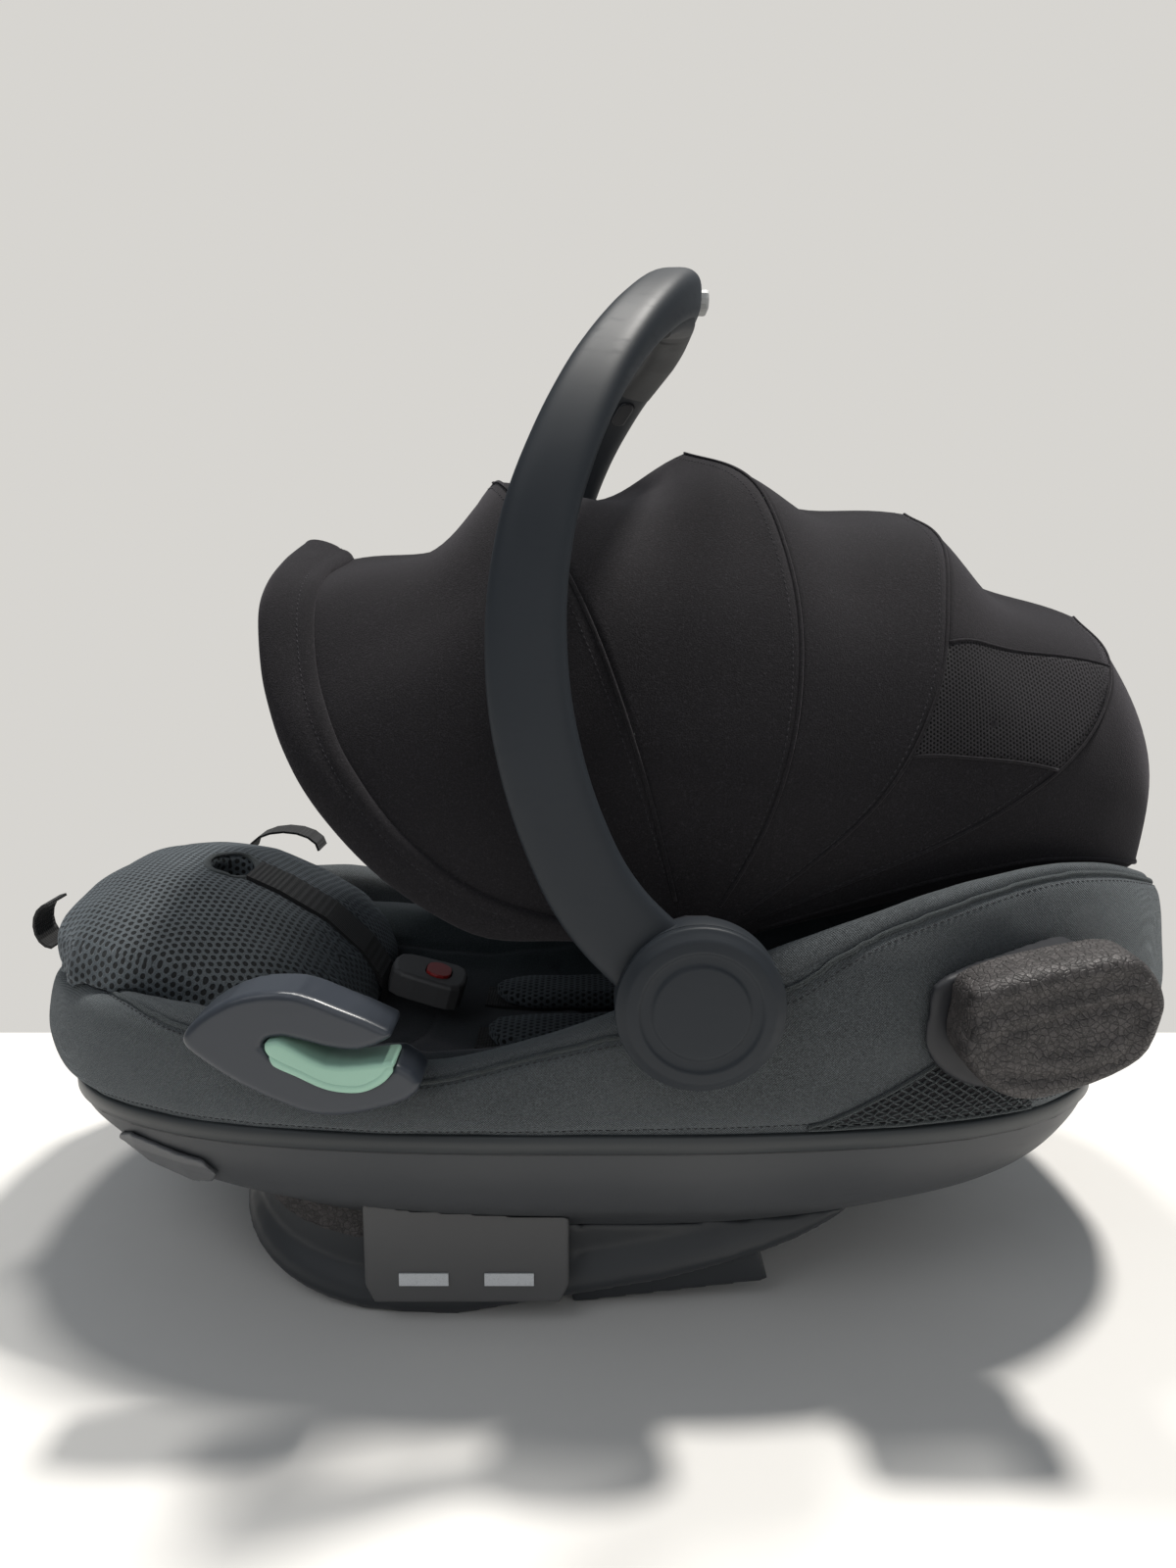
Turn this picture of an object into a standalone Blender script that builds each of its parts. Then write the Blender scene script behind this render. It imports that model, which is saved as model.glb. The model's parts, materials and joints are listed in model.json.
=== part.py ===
"""Infant car seat with a swinging carry handle, a folding canopy and a rocker base.

X runs from the foot end to the head end, Y across the seat, Z up. Lengths are in metres.
The origin lies on the floor, under the middle of the seat.
"""

import math

import bmesh
import bpy
from mathutils import Matrix, Vector

# Seat outline, seen from above
HALF_LENGTH = 0.336
HALF_WIDTH = 0.190
OUTLINE_POWER = 2.6
GAP = 0.0003
OVERRUN = 0.030
STATIONS = 44

# Heights of the rim, of the fabric's lower edge and of the lower shell's edge, along the seat
RIM_HEIGHT = 0.250
RIM_SHARES = (
    (-1.0, 0.68), (-0.85, 0.705), (-0.6, 0.70), (-0.3, 0.62), (-0.1, 0.68), (0.12, 0.79),
    (0.25, 0.86), (0.45, 0.95), (0.65, 1.0), (0.8, 0.985), (0.92, 0.93), (1.0, 0.86),
)
EDGE_HEIGHT = 0.122
EDGE_SHARES = ((-1.0, 0.91), (-0.7, 0.96), (-0.3, 1.0), (0.3, 1.0), (0.75, 0.94), (1.0, 0.90))
LOW_HEIGHT = 0.065
LOW_SHARES = (
    (-1.0, 1.24), (-0.92, 1.26), (-0.85, 1.25), (-0.74, 1.12), (-0.62, 1.06), (-0.4, 1.0), (0.0, 0.98), (0.5, 1.0),
    (0.62, 1.02), (0.75, 1.07), (0.85, 1.16), (0.93, 1.21), (1.0, 1.22),
)
BELLY_HEIGHT = 0.036

# Seat cover
COVER_SKIN = 0.005
RIM_WIDTH = 0.026
RIM_TOP_THICKNESS = 0.014
EDGE_TUCK = 0.006
END_TUCK = 0.010
HEAD_TUCK = 0.034
TOP_TUCK = 0.010
SKIRT_RISE = 0.006
SKIRT_BEND_SHARE = 0.24

# Shells and pad under the cover
SHELL_WALL = 0.003
TUB_WALL = 0.0035
TUB_STANDOFF = 0.010
FLANGE_HEIGHT = 0.010
FLANGE_PROUD = 0.0008
PAD_LIP = 0.0155
PAD_CLEARANCE = 0.0025
BOLSTER_WIDTH = 0.030
SEAT_HEIGHT = 0.110
SEAT_SHARES = (
    (-1.0, 1.30), (-0.75, 1.20), (-0.5, 1.08), (-0.3, 1.02), (-0.1, 0.98), (0.1, 1.00), (0.3, 1.16), (0.5, 1.42),
    (0.75, 1.75), (1.0, 1.95),
)

# Handle hubs
HUB_X = 0.042
HUB_Z = 0.201
HUB_RADIUS = 0.039
HUB_PROUD = 0.032
HUB_FACE_Y = HALF_WIDTH + HUB_PROUD
CAP_THICKNESS = 0.0092
HANDLE_DISC_THICKNESS = 0.0145
SOCKET_RADIUS = 0.036
SOCKET_THICKNESS = 0.0102
BOSS_RADIUS = 0.016
BOLT_RADIUS = 0.005
BOLT_HEAD_RADIUS = 0.010
BOLT_HEAD_THICKNESS = 0.003
BOLT_PLAY = 0.0004
CAP_GROOVE_RADIUS = 0.0272
CAP_BOSS_RADIUS = 0.0215
CAP_STEP = 0.0015
LOCK_RADIUS = 0.024
LOCK_TOOTH = 0.0025
LOCK_TEETH = 8
LOCK_THICKNESS = 0.0080
LOCK_POCKET_RADIUS = 0.0285
LOCK_POCKET_DEPTH = 0.0055
SOCKET_POCKET_DEPTH = 0.0085

# Carry handle: the canopy's reach from the hub, the room over it, and the handle's path from hub to grip
CANOPY_OVERHANG = 0.006
CANOPY_RADIUS = HALF_LENGTH - HUB_X + CANOPY_OVERHANG
HANDLE_HEADROOM = 0.066
HANDLE_TOP = HUB_Z + CANOPY_RADIUS + HANDLE_HEADROOM
HANDLE_ARM_INSET = 0.017
HANDLE_HALF_WIDTH = HUB_FACE_Y - HANDLE_ARM_INSET
ARM_WIDTH = 0.038
GRIP_THICKNESS = 0.028
HANDLE_SHARES = (
    # along, x share of the reach, y share of the half width, z share of the rise, width share, thickness share
    (0.00, 0.000, 1.000, 0.000, 1.10, 0.45),
    (0.10, -0.115, 1.000, 0.112, 1.06, 0.46),
    (0.22, -0.176, 1.000, 0.225, 1.02, 0.52),
    (0.35, -0.214, 0.998, 0.365, 0.99, 0.60),
    (0.46, -0.222, 0.982, 0.495, 0.94, 0.62),
    (0.56, -0.208, 0.948, 0.610, 0.88, 0.62),
    (0.66, -0.176, 0.880, 0.712, 0.81, 0.64),
    (0.75, -0.134, 0.770, 0.806, 0.76, 0.70),
    (0.83, -0.086, 0.620, 0.884, 0.74, 0.80),
    (0.90, -0.040, 0.430, 0.944, 0.75, 0.92),
    (0.96, -0.009, 0.205, 0.984, 0.76, 1.00),
    (1.00, 0.000, 0.000, 1.000, 0.76, 1.00),
)
HANDLE_STEPS = 18
GRIP_COVER_FROM_SHARE = 0.875
GRIP_COVER_THICKNESS = 0.006
GRIP_COVER_WIDTH_SHARE = 0.78
HANDLE_BUTTON_AT_SHARE = 0.845
HANDLE_BUTTON_LENGTH = 0.024
HANDLE_BUTTON_WIDTH = 0.010
HANDLE_BUTTON_DEPTH = 0.006
HANDLE_BUTTON_PROUD = 0.002
HANDLE_BUTTON_TRAVEL = 0.003
BUTTON_CLEARANCE = 0.0005
RELEASE_LENGTH = 0.024
RELEASE_WIDTH = 0.012
RELEASE_DEPTH = 0.009
RELEASE_PROUD = 0.0045
RELEASE_TRAVEL = 0.003

# Canopy: each bow as rows of (along from the apex, y share, degrees above +X at the hub, radius share)
CANOPY_INSET = 0.022
CANOPY_HALF_WIDTH = HALF_WIDTH - CANOPY_INSET
CANOPY_SKIN = 0.0012
BOW_RADIUS = 0.0014
BOW_DEPTH = 0.0034
BOW_END_LIFT = 0.0002
BOW_END_DEPTH = 0.0040
CANOPY_STEPS = 11
PANEL_STEPS = 4
RIM_BAND_WIDTH = 0.030
RIM_BAND_THICKNESS = 0.011
BOW_SHARES = {
    "hem": (
        (0.0, 0.000, 5.4, 0.955), (0.3, 0.415, 7.0, 0.885), (0.5, 0.620, 10.5, 0.775),
        (0.65, 0.725, 14.0, 0.633), (0.8, 0.805, 17.0, 0.433), (0.9, 0.845, 19.5, 0.25),
        (1.0, 0.855, 24.0, 0.052),
    ),
    "bow_5": (
        (0.0, 0.000, 34.4, 1.000), (0.3, 0.387, 31.5, 0.943), (0.5, 0.613, 28.0, 0.833),
        (0.65, 0.750, 25.5, 0.683), (0.8, 0.845, 25.0, 0.467), (0.9, 0.875, 27.5, 0.267),
        (1.0, 0.869, 34.0, 0.052),
    ),
    "bow_4": (
        (0.0, 0.000, 58.7, 0.902), (0.3, 0.405, 56.0, 0.853), (0.5, 0.655, 52.5, 0.740),
        (0.65, 0.815, 47.0, 0.600), (0.8, 0.910, 42.0, 0.417), (0.9, 0.923, 41.5, 0.233),
        (1.0, 0.888, 46.0, 0.052),
    ),
    "bow_3": (
        (0.0, 0.000, 88.5, 0.890), (0.3, 0.417, 81.0, 0.825), (0.5, 0.685, 75.5, 0.690),
        (0.65, 0.857, 70.5, 0.540), (0.8, 0.970, 65.5, 0.350), (0.9, 0.976, 64.0, 0.207),
        (1.0, 0.904, 66.0, 0.052),
    ),
    "bow_2": (
        (0.0, 0.000, 113.4, 0.907), (0.3, 0.429, 111.5, 0.863), (0.5, 0.690, 108.5, 0.740),
        (0.65, 0.863, 106.0, 0.583), (0.8, 0.982, 104.0, 0.373), (0.9, 0.988, 103.0, 0.217),
        (1.0, 0.920, 102.0, 0.052),
    ),
    "rim": (
        (0.0, 0.000, 133.5, 0.940), (0.3, 0.446, 137.0, 0.905), (0.5, 0.702, 143.5, 0.785),
        (0.65, 0.869, 149.0, 0.660), (0.8, 0.988, 155.5, 0.470), (0.9, 1.000, 158.0, 0.290),
        (1.0, 0.935, 150.0, 0.052),
    ),
}
PANEL_SAG_SHARES = (
    # name, front line, back line, sag share
    ("canopy_panel_1", "rim", "bow_2", 0.085),
    ("canopy_panel_2", "bow_2", "bow_3", 0.095),
    ("canopy_panel_3", "bow_3", "bow_4", 0.085),
    ("canopy_panel_4", "bow_4", "bow_5", 0.075),
    ("canopy_panel_5", "bow_5", "hem", -0.035),
)
CANOPY_MOUNT_RADIUS = 0.0120
CANOPY_MOUNT_INNER_INSET = 0.050
CANOPY_MOUNT_INNER_Y = HALF_WIDTH - CANOPY_MOUNT_INNER_INSET
CANOPY_MOUNT_OUTER_INSET = 0.0315
CANOPY_MOUNT_OUTER_Y = HALF_WIDTH - CANOPY_MOUNT_OUTER_INSET

# Belt guides on the rim
GUIDE_SETBACK = 0.140
GUIDE_X = GUIDE_SETBACK - HALF_LENGTH
GUIDE_Z = 0.1455
GUIDE_LENGTH = 0.1095
GUIDE_HEIGHT = 0.061
GUIDE_PROUD = 0.020
GUIDE_OUTER_Y = HALF_WIDTH + GUIDE_PROUD
GUIDE_SUNK = 0.008
GUIDE_INNER_Y = HALF_WIDTH - GUIDE_SUNK
GUIDE_ROUND = 0.006
GUIDE_SHARES = (
    (0.00, 0.66), (0.07, 0.80), (0.20, 0.94), (0.34, 1.00), (0.49, 0.99), (0.65, 0.88),
    (0.87, 0.70), (0.86, 0.62), (0.74, 0.535), (0.60, 0.56), (0.42, 0.645), (0.33, 0.585),
    (0.45, 0.48), (0.60, 0.405), (0.75, 0.40), (0.90, 0.43), (1.00, 0.27), (0.94, 0.135),
    (0.80, 0.05), (0.63, 0.00), (0.47, 0.05), (0.24, 0.25), (0.10, 0.42), (0.01, 0.56),
)
INSERT_SHARES = (
    (0.345, 0.600), (0.400, 0.638), (0.480, 0.560), (0.600, 0.445), (0.740, 0.440), (0.890, 0.468),
    (0.880, 0.395), (0.830, 0.300), (0.740, 0.235), (0.610, 0.255), (0.480, 0.370), (0.370, 0.485),
)
INSERT_CLEARANCE = 0.0005
INSERT_PROUD = 0.002
INSERT_DEPTH = 0.020

# Side-impact block and its mounts
BLOCK_SETBACK = 0.1735
BLOCK_X = HALF_LENGTH - BLOCK_SETBACK
BLOCK_Z = 0.1560
BLOCK_LENGTH = 0.0915
BLOCK_HEIGHT = 0.0695
BLOCK_PROUD = 0.027
BLOCK_OUTER_Y = HALF_WIDTH + BLOCK_PROUD
BLOCK_SEAT_INSET = 0.004
BLOCK_SEAT_Y = HALF_WIDTH - BLOCK_SEAT_INSET
BLOCK_ROUND = 0.007
BLOCK_RECESS = 0.0015
BLOCK_SHARES = (
    (0.04, 0.74), (0.20, 0.845), (0.38, 0.91), (0.72, 1.00), (0.86, 0.97), (0.95, 0.85), (1.00, 0.70),
    (0.99, 0.56), (0.94, 0.35), (0.84, 0.22), (0.66, 0.10), (0.42, 0.00), (0.27, 0.00), (0.12, 0.10),
    (0.02, 0.26), (0.00, 0.40), (0.02, 0.56),
)
RECESS_SHARES = (
    (0.36, 0.36), (0.34, 0.47), (0.42, 0.57), (0.60, 0.66), (0.76, 0.73), (0.88, 0.74), (0.94, 0.65),
    (0.90, 0.54), (0.76, 0.44), (0.58, 0.34), (0.44, 0.30),
)
MOUNT_SUNK = 0.028
MOUNT_INNER_Y = HALF_WIDTH - MOUNT_SUNK
MOUNT_SHIFT_SHARE = 0.10
BLOCK_TRAVEL = 0.030

# Rocker base
BASE_FRONT_X = -0.213
BASE_REAR_X = 0.165
BASE_HALF_WIDTH = 0.150
BASE_POWER = 4.5
BASE_WALL = 0.004
LIP_PROUD = 0.008
LIP_HEIGHT = 0.012
LIP_CURVE = 0.010
BASE_TOP = 0.095
ROCKER_RISE = 0.062
ROCKER_SHARES = (
    # along the base, rise
    (0.0, 0.8), (0.04762, 0.46), (0.10582, 0.22), (0.17725, 0.07), (0.23545, 0.003),
    (0.24603, 0.0), (0.3254, 0.0), (0.40476, 0.0), (0.41534, 0.003), (0.48413, 0.09),
    (0.64286, 0.32), (0.7963, 0.58), (0.93122, 0.87), (1.0, 1.0),
)
BASE_STATIONS = 52
FOOT_FRONT_X = -0.018
FOOT_REAR_X = 0.090
FOOT_WIDTH = 0.038
FOOT_INNER_Y = BASE_HALF_WIDTH - FOOT_WIDTH
FOOT_TOP_Z = 0.060
FOOT_RISE = 0.0137
FOOT_RAKE = 0.016
BAR_RADIUS = 0.005
BAR_INSET = 0.0185
BAR_REACH = BASE_HALF_WIDTH - BAR_INSET
FRONT_BAR_X = -0.150
FRONT_BAR_Z = 0.026
REAR_BAR_X = 0.055
REAR_BAR_Z = 0.014
FOAM_FRONT_X = -0.192
FOAM_REAR_X = -0.130
SIDE_BLOCK_FRONT_X = -0.127
SIDE_BLOCK_REAR_X = -0.019
SIDE_BLOCK_LOW_Z = 0.0155
SIDE_BLOCK_TOP_Z = 0.090
SIDE_BLOCK_PROUD = 0.010
SIDE_BLOCK_Y = BASE_HALF_WIDTH + SIDE_BLOCK_PROUD
SIDE_BLOCK_TAPER = 0.010
PLATE_FRONT_X = 0.002
PLATE_REAR_X = 0.128
PANEL_PROUD = 0.0025
STRIP_LENGTH = 0.026
STRIP_HEIGHT = 0.007
STRIP_THICKNESS = 0.001
STRIP_Z = 0.030
STRIP_FRONT_X = -0.1085
STRIP_REAR_X = -0.0635
RIB_WIDTH = 0.0025
RIB_PITCH = 0.0045
RIB_DEPTH = 0.0015
RIBS = 3
RIB_X = -0.0145

# Grey lever low on the foot end
LEVER_THICKNESS = 0.004
LEVER_REACH = 0.085
LEVER_INNER_Y = HALF_WIDTH - LEVER_REACH
LEVER_FRONT_X = -0.268
LEVER_REAR_X = -0.203
LEVER_LOW_Z = 0.066
LEVER_TOP_Z = 0.100
LEVER_PIVOT_INSET = 0.038
LEVER_PIVOT_Y = LEVER_PIVOT_INSET - HALF_WIDTH
LEVER_PIVOT_Z = 0.084
LEVER_SHARES = ((0.0, 0.62), (0.05, 0.85), (0.20, 1.0), (0.90, 0.86), (1.0, 0.62), (0.93, 0.40), (0.30, 0.08), (0.06, 0.0))

# Foot-end insert pad, as rows of (along the pad, half width, lower z, upper z)
INSERT_INSET = 0.050
INSERT_HALF_WIDTH = HALF_WIDTH - INSERT_INSET
INSERT_SETBACK = 0.012
INSERT_LENGTH = 0.184
INSERT_PAD_TOP = 0.220
INSERT_PAD_SHARES = (
    (0.0, 0.34, 0.78, 0.88), (0.05435, 0.6, 0.72, 0.94), (0.17391, 0.84, 0.58, 0.985),
    (0.32609, 0.97, 0.5, 1.0), (0.48913, 1.0, 0.46, 0.975), (0.65217, 0.98, 0.44, 0.91),
    (0.80435, 0.92, 0.42, 0.83), (0.92391, 0.82, 0.42, 0.73), (1.0, 0.66, 0.44, 0.63),
)
PAD_HOLE_SETBACK = 0.100
PAD_HOLE_X = PAD_HOLE_SETBACK - HALF_LENGTH
PAD_HOLE_HALF_LENGTH = 0.011
PAD_HOLE_HALF_WIDTH = 0.020
PAD_HOLE_DEPTH = 0.030
ADJUSTER_TRAVEL = 0.004

# Harness
BUCKLE_SETBACK = 0.223
BUCKLE_X = BUCKLE_SETBACK - HALF_LENGTH
BUCKLE_Z = 0.137
BUCKLE_LENGTH = 0.044
BUCKLE_WIDTH = 0.042
BUCKLE_THICKNESS = 0.016
BUCKLE_BUTTON_LENGTH = 0.016
BUCKLE_BUTTON_WIDTH = 0.024
BUCKLE_BUTTON_PROUD = 0.0015
BUCKLE_BUTTON_TRAVEL = 0.003
BUCKLE_BUTTON_DEPTH = 0.008
CROTCH_STRAP_WIDTH = 0.036
CROTCH_THICKNESS = 0.004
CROTCH_SETBACK = 0.114
CROTCH_FRONT_X = CROTCH_SETBACK - HALF_LENGTH
CROTCH_TO_BUCKLE = 0.0265
CROTCH_REAR_X = BUCKLE_X - CROTCH_TO_BUCKLE
CROTCH_LOW_Z = 0.128
BUCKLE_LEAN = math.radians(16.0)
STRAP_THICKNESS = 0.0020
STRAP_WIDTH = 0.034
STRAP_Y = 0.036
STRAP_FRONT_X = -0.078
STRAP_REAR_X = 0.125
SHOULDER_PAD_FRONT_X = -0.072
SHOULDER_PAD_REAR_X = 0.055
SHOULDER_PAD_WIDTH = 0.048
SHOULDER_PAD_THICKNESS = 0.011

# Headrest on its rail
REST_SLOPE = math.radians(23.0)
RAIL_SETBACK = 0.186
RAIL_X = HALF_LENGTH - RAIL_SETBACK
RAIL_Z = 0.156
RAIL_LENGTH = 0.125
RAIL_WIDTH = 0.056
RAIL_DEPTH = 0.030
HEADREST_LENGTH = 0.095
HEADREST_INSET = 0.105
HEADREST_WIDTH = 2 * (HALF_WIDTH - HEADREST_INSET)
HEADREST_THICKNESS = 0.020
HEADREST_WING = 0.040
HEADREST_TRAVEL = 0.040

# Elastic loops that hold the belts open
LOOP_FRONT_SETBACK = 0.0115
LOOP_FRONT_X = LOOP_FRONT_SETBACK - HALF_LENGTH
LOOP_FRONT_Y = -0.052
LOOP_FRONT_Z = 0.180
LOOP_SIDE_X = PAD_HOLE_X
LOOP_SIDE_INSET = 0.0084
LOOP_SIDE_Y = INSERT_HALF_WIDTH - LOOP_SIDE_INSET
LOOP_SIDE_Z = 0.1947
LOOP_WIDTH = 0.024
LOOP_THICKNESS = 0.0016
LOOP_LENGTH = 0.052

# Net panels in the cover
NET_STRAND = 0.0011
NET_STANDOFF = 0.0014
NET_TO_BLOCK = 0.0645
NET_FRONT_X = BLOCK_X - NET_TO_BLOCK
NET_LENGTH = 0.132
NET_REAR_X = NET_FRONT_X + NET_LENGTH
NET_LOW_SHARE = 0.03
NET_RISE_SHARE = 0.36
NET_PEAK_SHARE = 1.6
NET_FALL_SHARE = 0.5
NET_COLUMNS = 10
NET_ROWS = 3

COLOURS = {
    # name: colour, roughness, metallic
    "cover_fabric": ((0.040, 0.052, 0.054), 0.92, 0.0),
    "lining_fabric": ((0.022, 0.028, 0.031), 0.95, 0.0),
    "mesh_fabric": ((0.030, 0.043, 0.048), 0.90, 0.0),
    "canopy_fabric": ((0.020, 0.018, 0.020), 0.95, 0.0),
    "handle_plastic": ((0.042, 0.048, 0.054), 0.50, 0.0),
    "shell_plastic": ((0.032, 0.036, 0.042), 0.55, 0.0),
    "dark_plastic": ((0.012, 0.013, 0.018), 0.50, 0.0),
    "guide_plastic": ((0.036, 0.038, 0.050), 0.42, 0.0),
    "mint_plastic": ((0.180, 0.430, 0.310), 0.50, 0.0),
    "grey_plastic": ((0.130, 0.130, 0.135), 0.55, 0.0),
    "pale_plastic": ((0.420, 0.430, 0.430), 0.45, 0.0),
    "foam": ((0.050, 0.044, 0.042), 0.95, 0.0),
    "webbing": ((0.010, 0.010, 0.011), 0.85, 0.0),
    "red_plastic": ((0.450, 0.020, 0.020), 0.45, 0.0),
    "reflector": ((0.600, 0.620, 0.640), 0.35, 0.0),
    "steel": ((0.550, 0.550, 0.560), 0.30, 1.0),
}


# Curves and outlines


def along(table, t, column=1):
    """Value at t of a smooth curve through the table's rows, whose first column is t."""
    rows = sorted(table, key=lambda row: row[0])
    if t <= rows[0][0]:
        return rows[0][column]
    if t >= rows[-1][0]:
        return rows[-1][column]
    index = next(i for i in range(len(rows) - 1) if rows[i + 1][0] >= t)
    low, high = rows[index], rows[index + 1]
    before = rows[max(index - 1, 0)]
    after = rows[min(index + 2, len(rows) - 1)]
    span = high[0] - low[0]
    slope_low = (high[column] - before[column]) / (high[0] - before[0])
    slope_high = (after[column] - low[column]) / (after[0] - low[0])
    s = (t - low[0]) / span
    return (
        (2 * s**3 - 3 * s**2 + 1) * low[column]
        + (s**3 - 2 * s**2 + s) * span * slope_low
        + (3 * s**2 - 2 * s**3) * high[column]
        + (s**3 - s**2) * span * slope_high
    )


def rounded_power(value, power):
    return math.copysign(abs(value) ** power, value)


def plan_point(angle, inset=0.0, share_x=1.0, share_y=1.0):
    """Point of the seat's outline at this angle: shares shrink it, then inset moves it along its normal."""
    x = rounded_power(math.cos(angle), 2 / OUTLINE_POWER)
    y = rounded_power(math.sin(angle), 2 / OUTLINE_POWER)
    normal = Vector((
        rounded_power(x, OUTLINE_POWER - 1) / HALF_LENGTH,
        rounded_power(y, OUTLINE_POWER - 1) / HALF_WIDTH,
    )).normalized()
    return Vector((HALF_LENGTH * share_x * x, HALF_WIDTH * share_y * y)) - inset * normal


def station_angles(count=STATIONS):
    return [2 * math.pi * (i + 0.5) / count for i in range(count)]


def long_share(angle):
    return rounded_power(math.cos(angle), 2 / OUTLINE_POWER)


def rim_z(angle):
    return RIM_HEIGHT * along(RIM_SHARES, long_share(angle))


def edge_z(angle):
    return EDGE_HEIGHT * along(EDGE_SHARES, long_share(angle))


def low_z(angle):
    return LOW_HEIGHT * along(LOW_SHARES, long_share(angle))


def edge_inset(angle):
    """How far the lower edge lies inside the widest outline: more at the head end, which curves under."""
    along_seat = math.cos(angle)
    if along_seat > 0:
        return EDGE_TUCK + HEAD_TUCK * along_seat**2
    return EDGE_TUCK + END_TUCK * abs(along_seat) ** 3


def on_plan(angle, inset, z, share_x=1.0, share_y=1.0):
    x, y = plan_point(angle, inset, share_x, share_y)
    return Vector((x, y, z))


def smooth_loop(points, per_side=3):
    """Closed Catmull-Rom curve through the points."""
    count = len(points)
    result = []
    for i in range(count):
        p0, p1, p2, p3 = (Vector(points[(i + k) % count]) for k in (-1, 0, 1, 2))
        for step in range(per_side):
            t = step / per_side
            result.append(0.5 * (
                2 * p1 + (p2 - p0) * t + (2 * p0 - 5 * p1 + 4 * p2 - p3) * t**2 + (3 * p1 - p0 - 3 * p2 + p3) * t**3
            ))
    return result


def inset_loop(points, distance):
    """A closed outline in two coordinates, anticlockwise, drawn in by this distance."""
    count = len(points)
    result = []
    for i, point in enumerate(points):
        tangent = (points[(i + 1) % count] - points[i - 1]).normalized()
        result.append(point - distance * Vector((tangent.y, -tangent.x)))
    return result


def anticlockwise(points):
    area = sum(points[i - 1].x * p.y - p.x * points[i - 1].y for i, p in enumerate(points))
    return points if area > 0 else points[::-1]


# Objects


def clear_scene():
    for obj in list(bpy.data.objects):
        bpy.data.objects.remove(obj, do_unlink=True)


def material(name):
    found = bpy.data.materials.get(name)
    if found:
        return found
    colour, roughness, metallic = COLOURS[name]
    made = bpy.data.materials.new(name)
    made.use_nodes = True
    shader = made.node_tree.nodes["Principled BSDF"]
    shader.inputs["Base Color"].default_value = (*colour, 1.0)
    shader.inputs["Roughness"].default_value = roughness
    shader.inputs["Metallic"].default_value = metallic
    made.diffuse_color = (*colour, 1.0)
    return made


def add_object(name, bm, material_name, origin=(0.0, 0.0, 0.0), sharp=math.radians(35)):
    """Makes the object from world-space geometry, with its origin at the given point."""
    bmesh.ops.recalc_face_normals(bm, faces=bm.faces)
    if bm.calc_volume(signed=True) < 0:
        bmesh.ops.reverse_faces(bm, faces=bm.faces)
    bmesh.ops.translate(bm, verts=bm.verts, vec=-Vector(origin))
    mesh = bpy.data.meshes.new(name)
    bm.to_mesh(mesh)
    bm.free()
    mesh.materials.append(material(material_name))
    mesh.shade_smooth()
    mesh.set_sharp_from_angle(angle=sharp)
    obj = bpy.data.objects.new(name, mesh)
    obj.location = origin
    bpy.context.scene.collection.objects.link(obj)
    return obj


def as_cutter(obj):
    obj.hide_render = True
    obj.display_type = "WIRE"
    return obj


def boolean(obj, cutter, operation="DIFFERENCE"):
    modifier = obj.modifiers.new(operation.lower() + "_" + cutter.name, "BOOLEAN")
    modifier.operation = operation
    modifier.solver = "EXACT"
    modifier.object = cutter
    return obj


def swollen(source, distance):
    """A helper with the source's own surface moved out by this distance, for seating pieces against it."""
    name = f"{source.name}_out_{round(distance / GAP)}"
    if name in bpy.data.objects:
        return bpy.data.objects[name]
    helper = bpy.data.objects.new(name, source.data)
    helper.location = source.location
    bpy.context.scene.collection.objects.link(helper)
    displace = helper.modifiers.new("swell", "DISPLACE")
    displace.mid_level = 0.0
    displace.strength = distance
    return as_cutter(helper)


def raised(source, height):
    """A helper with the source's own surface, moved up by this height."""
    name = f"{source.name}_up_{round(height / GAP)}"
    if name in bpy.data.objects:
        return bpy.data.objects[name]
    helper = bpy.data.objects.new(name, source.data)
    helper.location = source.location + Vector((0.0, 0.0, height))
    bpy.context.scene.collection.objects.link(helper)
    return as_cutter(helper)


def grid_surface(rows, wrap_rows=False, wrap_columns=True, fan_start=False, fan_end=False):
    """Skin between neighbouring rows of points, with each end closed by a fan where asked.

    Each quad is split along the same diagonal, so that two skins from alike rows lie parallel.
    """
    bm = bmesh.new()
    verts = [[bm.verts.new(point) for point in row] for row in rows]
    row_count, column_count = len(rows), len(rows[0])
    for i in range(row_count if wrap_rows else row_count - 1):
        upper, lower = verts[i], verts[(i + 1) % row_count]
        for j in range(column_count if wrap_columns else column_count - 1):
            k = (j + 1) % column_count
            bm.faces.new((upper[j], upper[k], lower[k]))
            bm.faces.new((upper[j], lower[k], lower[j]))
    for wanted, ring in ((fan_start, verts[0]), (fan_end, verts[-1])):
        if wanted:
            centre = bm.verts.new(sum((v.co for v in ring), Vector()) / column_count)
            for j in range(column_count):
                bm.faces.new((ring[j], ring[(j + 1) % column_count], centre))
    return bm


def slab(outline, place, low, high, rounding=0.0):
    """A plate with this outline between two depths. place turns (a, b, depth) into a point in space."""
    outline = anticlockwise([Vector(point) for point in outline])
    layers = [(low, 0.0), (high - rounding, 0.0)]
    if rounding:
        for share in (0.5, 1.0):
            turn = share * math.pi / 2
            layers.append((high - rounding + rounding * math.sin(turn), rounding * (1 - math.cos(turn))))
    rows = []
    for depth, inset in layers:
        ring = inset_loop(outline, inset) if inset else outline
        rows.append([place(p.x, p.y, depth) for p in ring])
    bm = grid_surface(rows)
    bm.verts.ensure_lookup_table()
    count = len(outline)
    bm.faces.new(bm.verts[:count])
    bm.faces.new(bm.verts[-count:])
    return bm


def across(side):
    """Place for outlines drawn in X and Z, with depth outwards on this side."""
    return lambda a, b, depth: Vector((a, side * depth, b))


def circle(radius, centre=(0.0, 0.0), steps=32):
    return [
        (centre[0] + radius * math.cos(2 * math.pi * i / steps), centre[1] + radius * math.sin(2 * math.pi * i / steps))
        for i in range(steps)
    ]


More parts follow.
